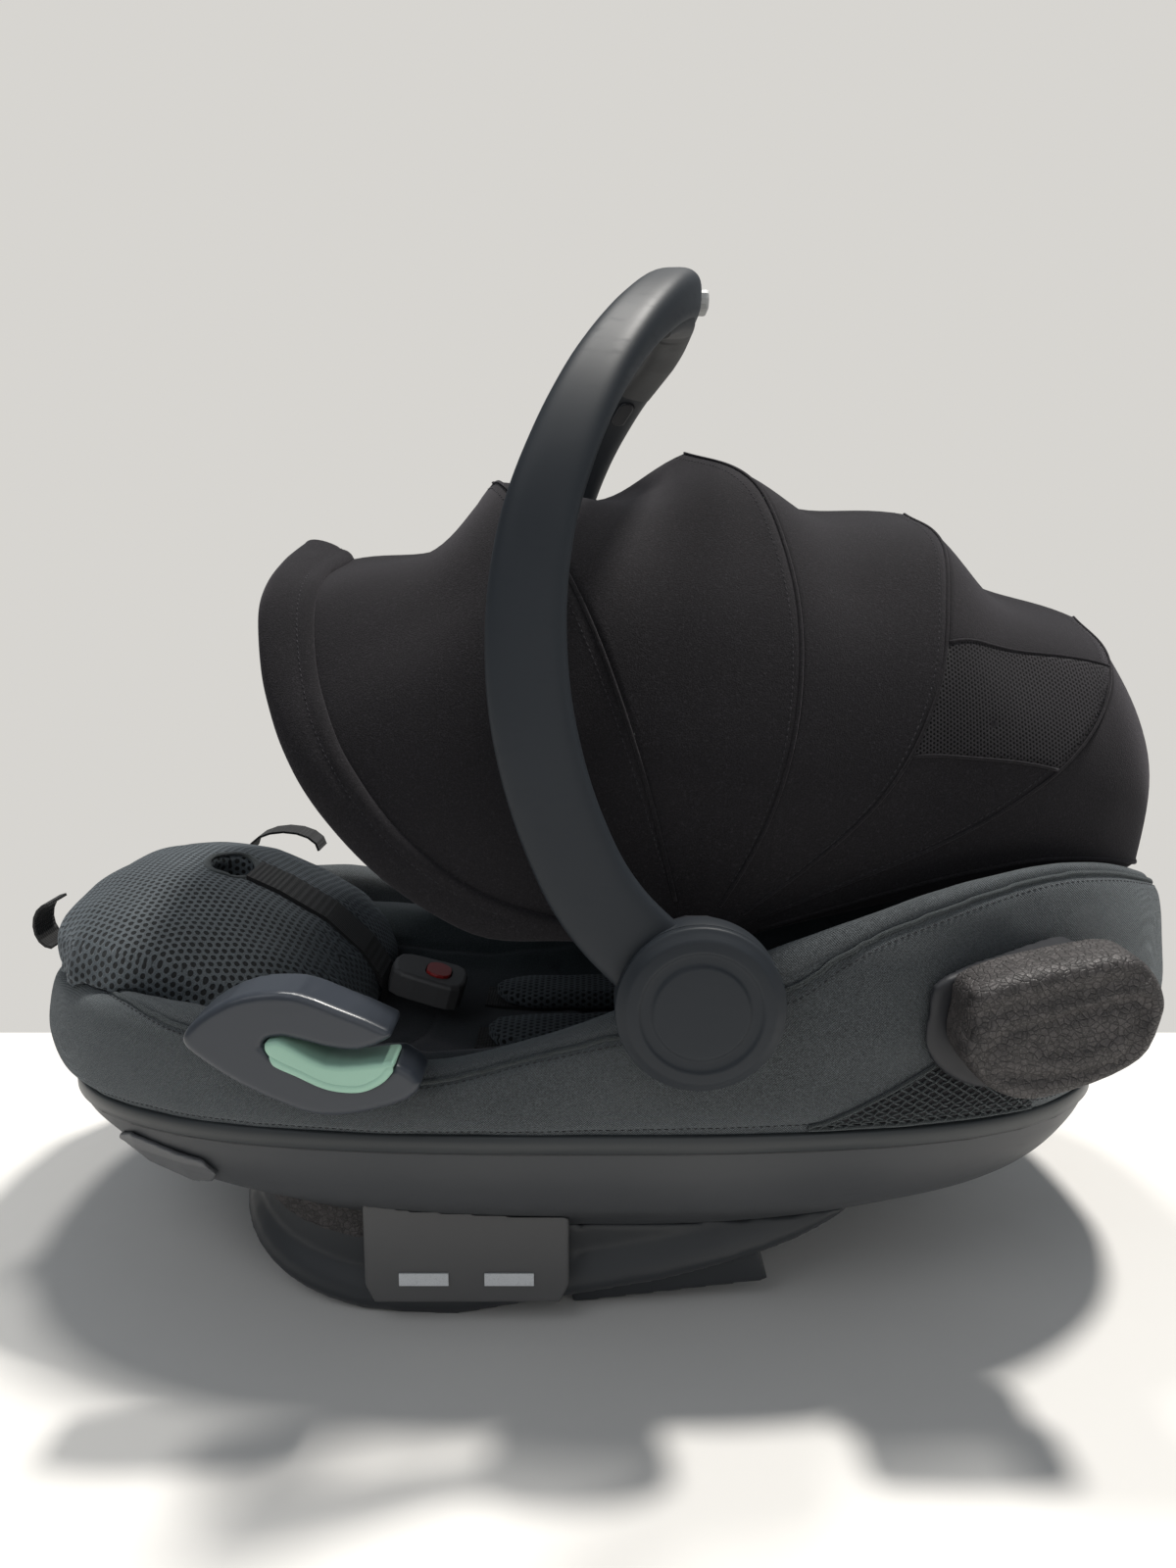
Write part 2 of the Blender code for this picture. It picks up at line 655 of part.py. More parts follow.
def rectangle(low_a, low_b, high_a, high_b):
    return [(low_a, low_b), (high_a, low_b), (high_a, high_b), (low_a, high_b)]


def stadium(length, width, centre=(0.0, 0.0), steps=6):
    """Outline of a slot along the first axis."""
    radius = width / 2
    reach = length / 2 - radius
    points = []
    for end, start in ((1, -math.pi / 2), (-1, math.pi / 2)):
        for i in range(steps + 1):
            turn = start + math.pi * i / steps
            points.append((centre[0] + end * reach + radius * math.cos(turn), centre[1] + radius * math.sin(turn)))
    return points


def turned_about_hub(profile, side, steps=40):
    """Solid turned about the hub's axis from (radius, y) points, closed on the axis at both ends."""
    rows = []
    for radius, y in profile:
        rows.append([
            Vector((
                HUB_X + radius * math.cos(2 * math.pi * j / steps), side * y, HUB_Z + radius * math.sin(2 * math.pi * j / steps)
            ))
            for j in range(steps)
        ])
    return grid_surface(rows, fan_start=True, fan_end=True)


def hub_ring_cutter(name, radius, low_y, high_y, side, steps=20):
    bm = slab(circle(radius, (HUB_X, HUB_Z), steps), across(side), low_y, high_y)
    return as_cutter(add_object(name, bm, "dark_plastic"))


def shares_to_outline(shares, x, z, length, height, per_side=3):
    return smooth_loop([(x + length * a, z + height * b) for a, b in shares], per_side)


SIDES = (("left", -1), ("right", 1))


# Shells, cover and pad


def cover_section(angle):
    """Closed section of the cover at a station: outer face, rolled rim, inner skirt, and the slot for the shell."""
    rim, edge = rim_z(angle), edge_z(angle)
    tuck = edge_inset(angle)
    lean = tuck - EDGE_TUCK
    height = rim - edge
    skirt = edge + SKIRT_RISE
    top = rim - RIM_TOP_THICKNESS
    points = (
        (tuck, edge),
        (tuck * 0.30, edge + 0.16 * height),
        (0.0, edge + 0.42 * height),
        (TOP_TUCK * 0.12, edge + 0.68 * height),
        (TOP_TUCK * 0.45, edge + 0.88 * height),
        (TOP_TUCK, rim - height * 0.02),
        (TOP_TUCK * 1.6, rim),
        (RIM_WIDTH * 0.88, rim - height * 0.06),
        (RIM_WIDTH, rim - height * SKIRT_BEND_SHARE),
        (RIM_WIDTH + lean, skirt),
        (RIM_WIDTH - COVER_SKIN + lean, skirt),
        (RIM_WIDTH - COVER_SKIN, top),
        (EDGE_TUCK + COVER_SKIN, top),
        (tuck + COVER_SKIN, edge),
    )
    return [on_plan(angle, inset, z) for inset, z in points]


def make_seat_cover():
    rows = [cover_section(angle) for angle in station_angles()]
    return add_object("seat_cover", grid_surface(rows, wrap_rows=True), "cover_fabric", sharp=math.radians(60))


def belly_rings(standoff, skip=0):
    """Rings down and in along the lower shell's outer form, moved inwards by standoff."""
    # Each row: inset at the sides, x share, y share, how far up from belly to edge, and the standoff's direction.
    rows = (
        (0.0, 1.0, 1.0, "edge", 1.0, 1.0, 0.0),
        (0.004, 1.0, 1.0, "side", 0.62, 1.0, 0.1),
        (0.012, 1.0, 1.0, "side", 0.26, 0.95, 0.3),
        (0.026, 1.0, 1.0, "side", 0.0, 0.6, 0.8),
        (0.020, 0.78, 0.86, "floor", 0.42, 0.3, 0.95),
        (0.010, 0.52, 0.62, "floor", 0.12, 0.1, 1.0),
        (0.000, 0.26, 0.32, "floor", 0.0, 0.0, 1.0),
    )
    rings = []
    for inset, share_x, share_y, kind, up, sideways, upward in rows[skip:]:
        ring = []
        for angle in station_angles():
            top, low = edge_z(angle) - FLANGE_HEIGHT - GAP, low_z(angle)
            if kind == "floor":
                z = BELLY_HEIGHT + up * (low - BELLY_HEIGHT)
            else:
                z = low + up * (top - low)
            total = edge_inset(angle) + inset + sideways * standoff
            ring.append(on_plan(angle, total, z + upward * standoff, share_x, share_y))
        rings.append(ring)
    return rings


def make_lower_shell():
    outer = belly_rings(0.0)
    inner = belly_rings(SHELL_WALL)
    bm = grid_surface(outer[::-1] + inner, fan_start=True, fan_end=True)
    return add_object("lower_shell", bm, "shell_plastic")


def make_shell_form():
    """Helper: the lower shell filled to its top, for cutting what lies under and beside it."""
    bm = grid_surface(belly_rings(0.0)[::-1], fan_start=True, fan_end=True)
    return as_cutter(add_object("shell_form", bm, "shell_plastic"))


def make_seat_tub():
    """Tub that carries the seat, with the dark flange that shows under the fabric."""
    angles = station_angles()
    wall_out = COVER_SKIN + GAP

    def ring(inset_of, z_of):
        return [on_plan(a, inset_of(a), z_of(a)) for a in angles]

    def wall(a):
        return edge_inset(a) + wall_out

    def top(a):
        return rim_z(a) - RIM_TOP_THICKNESS - GAP

    outer = [
        ring(lambda a: EDGE_TUCK + wall_out + TUB_WALL, top),
        ring(lambda a: EDGE_TUCK + wall_out, top),
        ring(wall, lambda a: edge_z(a) - GAP),
        ring(lambda a: edge_inset(a) - FLANGE_PROUD, lambda a: edge_z(a) - GAP),
        ring(lambda a: edge_inset(a) - FLANGE_PROUD, lambda a: edge_z(a) - FLANGE_HEIGHT),
        ring(lambda a: edge_inset(a) + TUB_STANDOFF, lambda a: edge_z(a) - FLANGE_HEIGHT),
    ] + belly_rings(TUB_STANDOFF, skip=1)
    inner = [
        ring(lambda a: wall(a) + TUB_WALL, lambda a: edge_z(a) + TUB_WALL),
        ring(lambda a: edge_inset(a) + TUB_STANDOFF + TUB_WALL, lambda a: edge_z(a) - TUB_WALL),
    ] + belly_rings(TUB_STANDOFF + TUB_WALL, skip=2)
    bm = grid_surface(inner[::-1] + outer, fan_start=True, fan_end=True)
    return add_object("seat_tub", bm, "dark_plastic")


def seat_z(x):
    return SEAT_HEIGHT * along(SEAT_SHARES, x / HALF_LENGTH)


def seat_face_rings():
    """Rings of the seat's padded face, from under the cover's skirt over the side bolsters to the middle."""
    rings = []
    for skirt_share, inward, drop in ((0.0, 0.0, 0.0), (0.62, 0.0, 0.0), (0.80, 0.30, 0.0), (0.80, 1.0, 0.0)):
        ring = []
        for angle in station_angles():
            lean = edge_inset(angle) - EDGE_TUCK
            low = edge_z(angle) + SKIRT_RISE - GAP
            high = rim_z(angle) - (rim_z(angle) - edge_z(angle)) * SKIRT_BEND_SHARE
            inset = RIM_WIDTH + PAD_CLEARANCE + lean * (1.0 - skirt_share) + inward * BOLSTER_WIDTH
            ring.append(on_plan(angle, inset, low + skirt_share * (high - low)))
        rings.append(ring)
    edge_ring = rings[-1]
    for share, bolster_share in ((0.86, 0.62), (0.66, 0.14), (0.42, 0.0), (0.20, 0.0)):
        ring = []
        for point in edge_ring:
            x, y = point.x * share, point.y * share
            floor = seat_z(x)
            ring.append(Vector((x, y, floor + bolster_share * (point.z - floor))))
        rings.append(ring)
    return rings


def make_seat_pad():
    """Lining of the tub: a thick pad with side bolsters, held under the cover's skirt."""
    angles = station_angles()
    low = TUB_STANDOFF + TUB_WALL + GAP
    lip_top = [on_plan(a, edge_inset(a) + PAD_LIP, edge_z(a) + SKIRT_RISE - GAP) for a in angles]
    lip_low = [on_plan(a, edge_inset(a) + PAD_LIP, edge_z(a) - TUB_WALL) for a in angles]
    rings = belly_rings(low, skip=2)[::-1] + [lip_low, lip_top] + seat_face_rings()
    return add_object(
        "seat_pad", grid_surface(rings, fan_start=True, fan_end=True), "lining_fabric", sharp=math.radians(60)
    )


def make_seat_space():
    """Helper: the space over the seat's padded face, for shaping what lies on it."""
    lid = [Vector((point.x, point.y, HANDLE_TOP)) for point in seat_face_rings()[1]]
    rings = [lid] + seat_face_rings()[1:]
    return as_cutter(add_object("seat_space", grid_surface(rings, fan_start=True, fan_end=True), "lining_fabric"))


def make_cover_ring():
    """Helper: the cover with its slot filled, for seating what lies against it."""
    rows = [cover_section(angle)[:10] for angle in station_angles()]
    return as_cutter(add_object("cover_ring", grid_surface(rows, wrap_rows=True), "cover_fabric"))


# Hubs and handle


def make_hub_side(side_name, side, cover, tub):
    """Socket on the shell, bolt, lock disc, spring and cap of one hub."""
    handle_in = HUB_FACE_Y - CAP_THICKNESS - GAP - HANDLE_DISC_THICKNESS
    socket_out = handle_in - GAP
    socket_in = socket_out - SOCKET_THICKNESS
    socket = add_object(
        f"hub_socket_{side_name}",
        turned_about_hub(
            (
                (BOLT_RADIUS / 2, socket_out - SOCKET_POCKET_DEPTH), (LOCK_POCKET_RADIUS, socket_out - SOCKET_POCKET_DEPTH),
                (LOCK_POCKET_RADIUS, socket_out), (SOCKET_RADIUS, socket_out), (SOCKET_RADIUS, socket_in),
                (BOSS_RADIUS, socket_in), (BOSS_RADIUS, CANOPY_MOUNT_OUTER_Y), (CANOPY_MOUNT_RADIUS, CANOPY_MOUNT_OUTER_Y),
                (CANOPY_MOUNT_RADIUS, CANOPY_MOUNT_INNER_Y), (BOLT_RADIUS / 2, CANOPY_MOUNT_INNER_Y),
            ),
            side,
            steps=22,
        ),
        "dark_plastic",
        origin=(HUB_X, side * socket_out, HUB_Z),
    )
    boolean(cover, swollen(socket, GAP))
    boolean(tub, swollen(socket, GAP))
    bore = hub_ring_cutter(
        f"socket_bore_{side_name}", BOLT_RADIUS + GAP, CANOPY_MOUNT_INNER_Y + BOLT_HEAD_THICKNESS, socket_out + OVERRUN,
        side, steps=12,
    )
    boolean(socket, bore)

    bolt_in = CANOPY_MOUNT_INNER_Y + 2 * BOLT_HEAD_THICKNESS
    head_out = HUB_FACE_Y - CAP_THICKNESS - 2 * GAP
    bolt = add_object(
        f"pivot_bolt_{side_name}",
        turned_about_hub(
            (
                (BOLT_RADIUS / 2, head_out), (BOLT_HEAD_RADIUS, head_out), (BOLT_HEAD_RADIUS, head_out - BOLT_HEAD_THICKNESS),
                (BOLT_RADIUS, head_out - BOLT_HEAD_THICKNESS), (BOLT_RADIUS, bolt_in), (BOLT_RADIUS / 2, bolt_in),
            ),
            side,
            steps=12,
        ),
        "steel",
    )

    lock_out = handle_in + LOCK_POCKET_DEPTH - GAP
    teeth = []
    for i in range(LOCK_TEETH):
        for part, radius in ((0.0, LOCK_RADIUS), (0.42, LOCK_RADIUS), (0.5, LOCK_RADIUS + LOCK_TOOTH), (0.92, LOCK_RADIUS + LOCK_TOOTH)):
            turn = 2 * math.pi * (i + part) / LOCK_TEETH
            teeth.append((HUB_X + radius * math.cos(turn), HUB_Z + radius * math.sin(turn)))
    lock = add_object(
        f"lock_disc_{side_name}", slab(teeth, across(side), lock_out - LOCK_THICKNESS, lock_out), "pale_plastic"
    )
    boolean(lock, hub_ring_cutter(
        f"lock_bore_{side_name}", BOLT_RADIUS + BOLT_PLAY, lock_out - LOCK_THICKNESS - OVERRUN, lock_out + OVERRUN, side
    ))

    face, back = HUB_FACE_Y, HUB_FACE_Y - CAP_THICKNESS
    add_object(
        f"hub_cap_{side_name}",
        turned_about_hub(
            (
                (BOLT_RADIUS, back), (HUB_RADIUS, back), (HUB_RADIUS, face - 3.2 * CAP_STEP),
                (HUB_RADIUS - 1.4 * CAP_STEP, face - 2.4 * CAP_STEP), (HUB_RADIUS - 3.4 * CAP_STEP, face - 0.8 * CAP_STEP),
                (CAP_GROOVE_RADIUS + CAP_STEP, face - 0.1 * CAP_STEP), (CAP_GROOVE_RADIUS, face - 0.9 * CAP_STEP),
                (CAP_BOSS_RADIUS + CAP_STEP, face - 0.9 * CAP_STEP), (CAP_BOSS_RADIUS, face - 0.1 * CAP_STEP),
                (CAP_BOSS_RADIUS / 2, face),
            ),
            side,
            steps=28,
        ),
        "handle_plastic",
        origin=(HUB_X, side * back, HUB_Z),
    )


def tube(points, radius, sides, squash=1.0):
    """Round or flattened tube along points, with its ends closed."""
    rows = []
    across_old = None
    for i, point in enumerate(points):
        ahead = points[min(i + 1, len(points) - 1)]
        behind = points[max(i - 1, 0)]
        tangent = (ahead - behind).normalized()
        if across_old is None:
            across_old = tangent.orthogonal().normalized()
        first = (across_old - across_old.dot(tangent) * tangent).normalized()
        across_old = first
        second = tangent.cross(first)
        rows.append([
            point + radius * (math.cos(a) * first + squash * math.sin(a) * second)
            for a in (2 * math.pi * j / sides for j in range(sides))
        ])
    return grid_surface(rows, fan_start=True, fan_end=True)


def handle_point(t, side):
    """Centre of the handle's section at t, from the hub (0) to the middle of the grip (1)."""
    reach = HANDLE_TOP - HUB_Z - GRIP_THICKNESS / 2
    return Vector((
        HUB_X + reach * along(HANDLE_SHARES, t, 1),
        side * HANDLE_HALF_WIDTH * along(HANDLE_SHARES, t, 2),
        HUB_Z + reach * along(HANDLE_SHARES, t, 3),
    ))


def handle_frame(t, side):
    """Centre, tangent, fore-and-aft direction and outward direction of the handle's section at t."""
    step = 0.01
    centre = handle_point(t, side)
    if t + step > 1.0:
        tangent = Vector((0.0, -side, 0.0))
    else:
        tangent = (handle_point(t + step, side) - handle_point(t - step, side)).normalized()
    turn = along(HANDLE_SHARES, t, 2)
    outward = Vector((0.0, side * turn, max(1.0 - turn, 0.0) * 2))
    outward = (outward - outward.dot(tangent) * tangent).normalized()
    fore = tangent.cross(outward).normalized() * -side
    return centre, tangent, fore, outward


def handle_section(t, side, half_width, inner, outer, steps=10, power=3.0):
    """Rounded section between two distances along the outward direction."""
    centre, _, fore, outward = handle_frame(t, side)
    middle, half = (inner + outer) / 2, (outer - inner) / 2
    ring = []
    for j in range(steps):
        a = 2 * math.pi * (j + 0.5) / steps
        ring.append(
            centre
            + half_width * rounded_power(math.cos(a), 2 / power) * fore
            + (middle + half * rounded_power(math.sin(a), 2 / power)) * outward
        )
    return ring


def handle_sizes(t):
    return ARM_WIDTH * along(HANDLE_SHARES, t, 4) / 2, GRIP_THICKNESS * along(HANDLE_SHARES, t, 5) / 2


def swept_handle(ts, section):
    """Rows of sections from the left hub over the grip to the right hub."""
    left = [section(t, -1) for t in ts]
    right = [section(t, 1) for t in ts[-2::-1]] if ts[-1] == 1.0 else [section(t, 1) for t in ts[::-1]]
    return left + right


def make_handle():
    ts = [i / HANDLE_STEPS for i in range(HANDLE_STEPS + 1)]

    def section(t, side):
        half_width, half_thickness = handle_sizes(t)
        return handle_section(t, side, half_width, -half_thickness, half_thickness)

    bm = grid_surface(swept_handle(ts, section), fan_start=True, fan_end=True)
    handle = add_object("carry_handle", bm, "handle_plastic", origin=(HUB_X, 0.0, HUB_Z))
    disc_out = HUB_FACE_Y - CAP_THICKNESS - GAP
    disc_in = disc_out - HANDLE_DISC_THICKNESS
    for side_name, side in SIDES:
        disc = add_object(
            f"handle_disc_{side_name}",
            turned_about_hub(
                (
                    (LOCK_POCKET_RADIUS / 2, disc_in), (HUB_RADIUS - CAP_STEP, disc_in), (HUB_RADIUS, disc_in + CAP_STEP),
                    (HUB_RADIUS, disc_out), (LOCK_POCKET_RADIUS / 2, disc_out),
                ),
                side,
                steps=28,
            ),
            "handle_plastic",
        )
        boolean(handle, as_cutter(disc), "UNION")
    for side_name, side in SIDES:
        boolean(handle, hub_ring_cutter(
            f"lock_pocket_{side_name}", LOCK_POCKET_RADIUS, disc_in - OVERRUN / 4, disc_in + LOCK_POCKET_DEPTH, side
        ))
        boolean(handle, hub_ring_cutter(
            f"head_pocket_{side_name}", BOLT_HEAD_RADIUS + BOLT_PLAY, disc_out - BOLT_HEAD_THICKNESS - 2 * GAP,
            disc_out + OVERRUN / 10, side,
        ))
        boolean(handle, hub_ring_cutter(
            f"handle_bore_{side_name}", BOLT_RADIUS + BOLT_PLAY, disc_in - OVERRUN / 4, disc_out + OVERRUN / 10, side
        ))
    return handle


def make_grip_cover(handle):
    """Soft cover under the grip."""
    first = GRIP_COVER_FROM_SHARE
    ts = [first + (1.0 - first) * i / 6 for i in range(7)]

    def section(t, side):
        half_width, half_thickness = handle_sizes(t)
        inner = -half_thickness - GRIP_COVER_THICKNESS * min(1.0, 0.35 + (t - first) / (1 - first) * 1.3)
        return handle_section(t, side, half_width * GRIP_COVER_WIDTH_SHARE, inner, -half_thickness * 0.55, steps=12, power=2.6)

    bm = grid_surface(swept_handle(ts, section), fan_start=True, fan_end=True)
    cover = add_object("grip_cover", bm, "dark_plastic")
    return boolean(cover, swollen(handle, GAP))


def in_frame(centre, first, second, outward):
    return lambda a, b, depth: centre + a * first + b * second + depth * outward


def make_handle_buttons(handle):
    for side_name, side in SIDES:
        centre, tangent, fore, outward = handle_frame(HANDLE_BUTTON_AT_SHARE, side)
        _, half_thickness = handle_sizes(HANDLE_BUTTON_AT_SHARE)
        face = half_thickness
        place = in_frame(centre, tangent, fore, -outward)
        outline = stadium(HANDLE_BUTTON_LENGTH, HANDLE_BUTTON_WIDTH)
        button = add_object(
            f"handle_button_{side_name}",
            slab(outline, place, face - HANDLE_BUTTON_DEPTH, face + HANDLE_BUTTON_PROUD, HANDLE_BUTTON_PROUD / 2),
            "dark_plastic",
        )
        slot = stadium(HANDLE_BUTTON_LENGTH + 2 * BUTTON_CLEARANCE, HANDLE_BUTTON_WIDTH + 2 * BUTTON_CLEARANCE)
        pocket_low = face - HANDLE_BUTTON_DEPTH - HANDLE_BUTTON_TRAVEL - GAP
        pocket = add_object(
            f"button_pocket_{side_name}", slab(slot, place, pocket_low, face + OVERRUN / 3), "dark_plastic"
        )
        boolean(handle, as_cutter(pocket))
        button["press"] = (outward).to_tuple()


def make_release_button(handle, grip_cover):
    centre, tangent, fore, outward = handle_frame(1.0, -1)
    half_width, _ = handle_sizes(1.0)
    rear = Vector((1.0, 0.0, 0.0))
    place = in_frame(centre, Vector((0.0, 1.0, 0.0)), Vector((0.0, 0.0, 1.0)), rear)
    outline = stadium(RELEASE_LENGTH, RELEASE_WIDTH)
    add_object(
        "release_button",
        slab(outline, place, half_width - RELEASE_DEPTH, half_width + RELEASE_PROUD, RELEASE_PROUD / 3),
        "pale_plastic",
    )
    slot = stadium(RELEASE_LENGTH + 2 * BUTTON_CLEARANCE, RELEASE_WIDTH + 2 * BUTTON_CLEARANCE)
    pocket = as_cutter(add_object(
        "release_pocket",
        slab(slot, place, half_width - RELEASE_DEPTH - RELEASE_TRAVEL - GAP, half_width + OVERRUN),
        "dark_plastic",
    ))
    boolean(handle, pocket)
    boolean(grip_cover, pocket)


# Canopy


def bow_point(line, u):
    """Point of a canopy line at u, from the left pivot (-1) over the apex (0) to the right pivot (1)."""
    rows = BOW_SHARES[line]
    t = abs(u)
    y = math.copysign(1.0, u) * CANOPY_HALF_WIDTH * along(rows, t, 1)
    return math.radians(along(rows, t, 2)), CANOPY_RADIUS * along(rows, t, 3), y


def from_polar(turn, radius, y):
    return Vector((HUB_X + radius * math.cos(turn), y, HUB_Z + radius * math.sin(turn)))


def canopy_outward(turn, radius, y):
    """Outward direction of the canopy's rounded form."""
    return Vector((
        radius * math.cos(turn) / CANOPY_RADIUS**2,
        y / CANOPY_HALF_WIDTH**2,
        radius * math.sin(turn) / CANOPY_RADIUS**2,
    )).normalized()


def canopy_stations():
    return [i / CANOPY_STEPS for i in range(-CANOPY_STEPS, CANOPY_STEPS + 1)]


def make_canopy_panel(name, front, back, sag_share):
    """Fabric between two canopy lines, which sinks between them towards the hub."""
    outer, inner = [], []
    for u in canopy_stations():
        front_turn, front_radius, front_y = bow_point(front, u)
        back_turn, back_radius, back_y = bow_point(back, u)
        outer_row, inner_row = [], []
        for i in range(PANEL_STEPS + 1):
            v = i / PANEL_STEPS
            sag = 1.0 - sag_share * 4 * v * (1 - v) * max(0.0, 1.0 - abs(u) ** 1.6)
            turn = front_turn + v * (back_turn - front_turn)
            radius = (front_radius + v * (back_radius - front_radius)) * sag
            y = front_y + v * (back_y - front_y)
            point = from_polar(turn, radius, y)
            normal = canopy_outward(turn, radius, y)
            sideways = (from_polar(back_turn, radius, back_y) - from_polar(front_turn, radius, front_y)).normalized()
            if i == 0:
                point += GAP * sideways
            if i == PANEL_STEPS:
                point -= GAP * sideways
            outer_row.append(point)
            inner_row.append(point - CANOPY_SKIN * normal)
        outer.append(outer_row)
        inner.append(inner_row[::-1])
    rows = [top + bottom for top, bottom in zip(outer, inner)]
    return add_object(name, grid_surface(rows, fan_start=True, fan_end=True), "canopy_fabric", sharp=math.radians(70))


def make_bow(name, line):
    points = []
    for u in canopy_stations():
        turn, radius, y = bow_point(line, u)
        depth = BOW_DEPTH
        if abs(u) == 1.0:
            radius = CANOPY_MOUNT_RADIUS + GAP + BOW_END_LIFT
            depth = BOW_END_DEPTH
        points.append(from_polar(turn, radius, y) - depth * canopy_outward(turn, radius, y))
    return add_object(f"canopy_{name}", tube(points, BOW_RADIUS, 5), "dark_plastic", origin=(HUB_X, 0.0, HUB_Z))


def make_canopy_rim():
    """Padded front edge of the canopy, a band that stands out forwards."""
    rows = []
    limit = CANOPY_STEPS - 1
    for k in range(-limit, limit + 1):
        u = k / CANOPY_STEPS
        turn, radius, y = bow_point("rim", u)
        seam = from_polar(turn, radius, y)
        normal = canopy_outward(turn, radius, y)
        ahead = bow_point("rim", min(u + 0.02, 1.0))
        behind = bow_point("rim", max(u - 0.02, -1.0))
        tangent = (from_polar(*ahead) - from_polar(*behind)).normalized()
        forward = tangent.cross(normal).normalized()
        if forward.x > 0:
            forward = -forward
        lift = max(0.0, 1.0 - abs(u) * 1.25)
        band = (forward * (1.0 - 0.62 * lift) + normal * 0.95 * lift).normalized()
        thick = band.cross(tangent).normalized()
        if thick.dot(normal) < 0:
            thick = -thick
        width = RIM_BAND_WIDTH * (1.0 - 0.45 * abs(u) ** 4)
        centre = seam + width / 2 * band
        ring = []
        for j in range(10):
            a = 2 * math.pi * j / 10
            away = (1.0 + math.cos(a)) / 2
            drop = RIM_BAND_THICKNESS * 0.35 * away + CANOPY_SKIN / 2 * (1.0 - away)
            ring.append(
                centre
                + width / 2 * rounded_power(math.cos(a), 0.8) * band
                + (RIM_BAND_THICKNESS / 2 * rounded_power(math.sin(a), 0.8) - drop) * thick
            )
        rows.append(ring)
    bm = grid_surface(rows, fan_start=True, fan_end=True)
    return add_object("canopy_rim", bm, "canopy_fabric", origin=(HUB_X, 0.0, HUB_Z), sharp=math.radians(70))


def make_canopy():
    for name, front, back, sag_share in PANEL_SAG_SHARES:
        make_canopy_panel(name, front, back, sag_share)
    for line in ("bow_2", "bow_3", "bow_4", "bow_5"):
        make_bow(line, line)
    make_canopy_rim()


# Belt guides, inserts and side block


def make_belt_guides(cover_ring):
    for side_name, side in SIDES:
        outline = shares_to_outline(GUIDE_SHARES, GUIDE_X, GUIDE_Z, GUIDE_LENGTH, GUIDE_HEIGHT, 2)
        guide = add_object(
            f"belt_guide_{side_name}",
            slab(outline, across(side), GUIDE_INNER_Y, GUIDE_OUTER_Y, GUIDE_ROUND / 2),
            "guide_plastic",
        )
        insert_outline = shares_to_outline(INSERT_SHARES, GUIDE_X, GUIDE_Z, GUIDE_LENGTH, GUIDE_HEIGHT, 2)
        insert = add_object(
            f"guide_insert_{side_name}",
            slab(insert_outline, across(side), GUIDE_OUTER_Y - INSERT_DEPTH, GUIDE_OUTER_Y + INSERT_PROUD, INSERT_PROUD),
            "mint_plastic",
        )
        boolean(guide, swollen(insert, INSERT_CLEARANCE))
        boolean(guide, swollen(cover_ring, GAP))
        boolean(insert, swollen(cover_ring, GAP))


def make_block_mounts(cover_ring):
    for side_name, side in SIDES:
        outline = shares_to_outline(BLOCK_SHARES, BLOCK_X, BLOCK_Z, BLOCK_LENGTH, BLOCK_HEIGHT, 2)
        moved = [
            (point.x - MOUNT_SHIFT_SHARE * BLOCK_LENGTH, point.y - MOUNT_SHIFT_SHARE * BLOCK_HEIGHT) for point in outline
        ]
        mount = add_object(
            f"block_mount_{side_name}",
            slab(moved, across(side), MOUNT_INNER_Y, BLOCK_SEAT_Y - GAP, GUIDE_ROUND / 2),
            "dark_plastic",
        )
        boolean(mount, swollen(cover_ring, NET_STANDOFF + 2 * NET_STRAND))


def make_side_block():
    outline = shares_to_outline(BLOCK_SHARES, BLOCK_X, BLOCK_Z, BLOCK_LENGTH, BLOCK_HEIGHT, 2)
    block = add_object(
        "side_block", slab(outline, across(-1), BLOCK_SEAT_Y, BLOCK_OUTER_Y, BLOCK_ROUND), "foam",
        origin=(BLOCK_X, -BLOCK_SEAT_Y, BLOCK_Z),
    )
    recess = shares_to_outline(RECESS_SHARES, BLOCK_X, BLOCK_Z, BLOCK_LENGTH, BLOCK_HEIGHT, 2)
    cutter = add_object(
        "block_recess", slab(recess, across(-1), BLOCK_OUTER_Y - BLOCK_RECESS, BLOCK_OUTER_Y + OVERRUN), "foam"
    )
    boolean(block, as_cutter(cutter))


# Base


def rocker_z(x):
    return ROCKER_RISE * along(ROCKER_SHARES, (x - BASE_FRONT_X) / (BASE_REAR_X - BASE_FRONT_X))


def base_outline(inset, count=BASE_STATIONS):
    middle, half = (BASE_FRONT_X + BASE_REAR_X) / 2, (BASE_REAR_X - BASE_FRONT_X) / 2
    points = []
    for i in range(count):
        a = 2 * math.pi * (i + 0.5) / count
        x = rounded_power(math.cos(a), 2 / BASE_POWER)
        y = rounded_power(math.sin(a), 2 / BASE_POWER)
        normal = Vector((rounded_power(x, BASE_POWER - 1) / half, rounded_power(y, BASE_POWER - 1) / BASE_HALF_WIDTH))
        points.append(Vector((middle + half * x, BASE_HALF_WIDTH * y)) - inset * normal.normalized())
    return points


def side_panel_outline(front_x, rear_x, steps=5):
    """Outline of a panel on the base's wall, whose lower edge follows the lip."""
    outline = []
    for i in range(steps + 1):
        x = front_x + (rear_x - front_x) * i / steps
        outline.append((x, rocker_z(x) + LIP_HEIGHT + LIP_CURVE + 2 * GAP))
    return outline + [(rear_x, BASE_TOP), (front_x, BASE_TOP)]


def make_base_form():
    """Helper: the base's outer wall filled, for what lies on it."""
    outline = base_outline(LIP_PROUD + LIP_CURVE * 0.2)
    rows = [[Vector((point.x, point.y, z)) for point in outline] for z in (0.0, BASE_TOP)]
    return as_cutter(add_object("base_form", grid_surface(rows, fan_start=True, fan_end=True), "dark_plastic"))


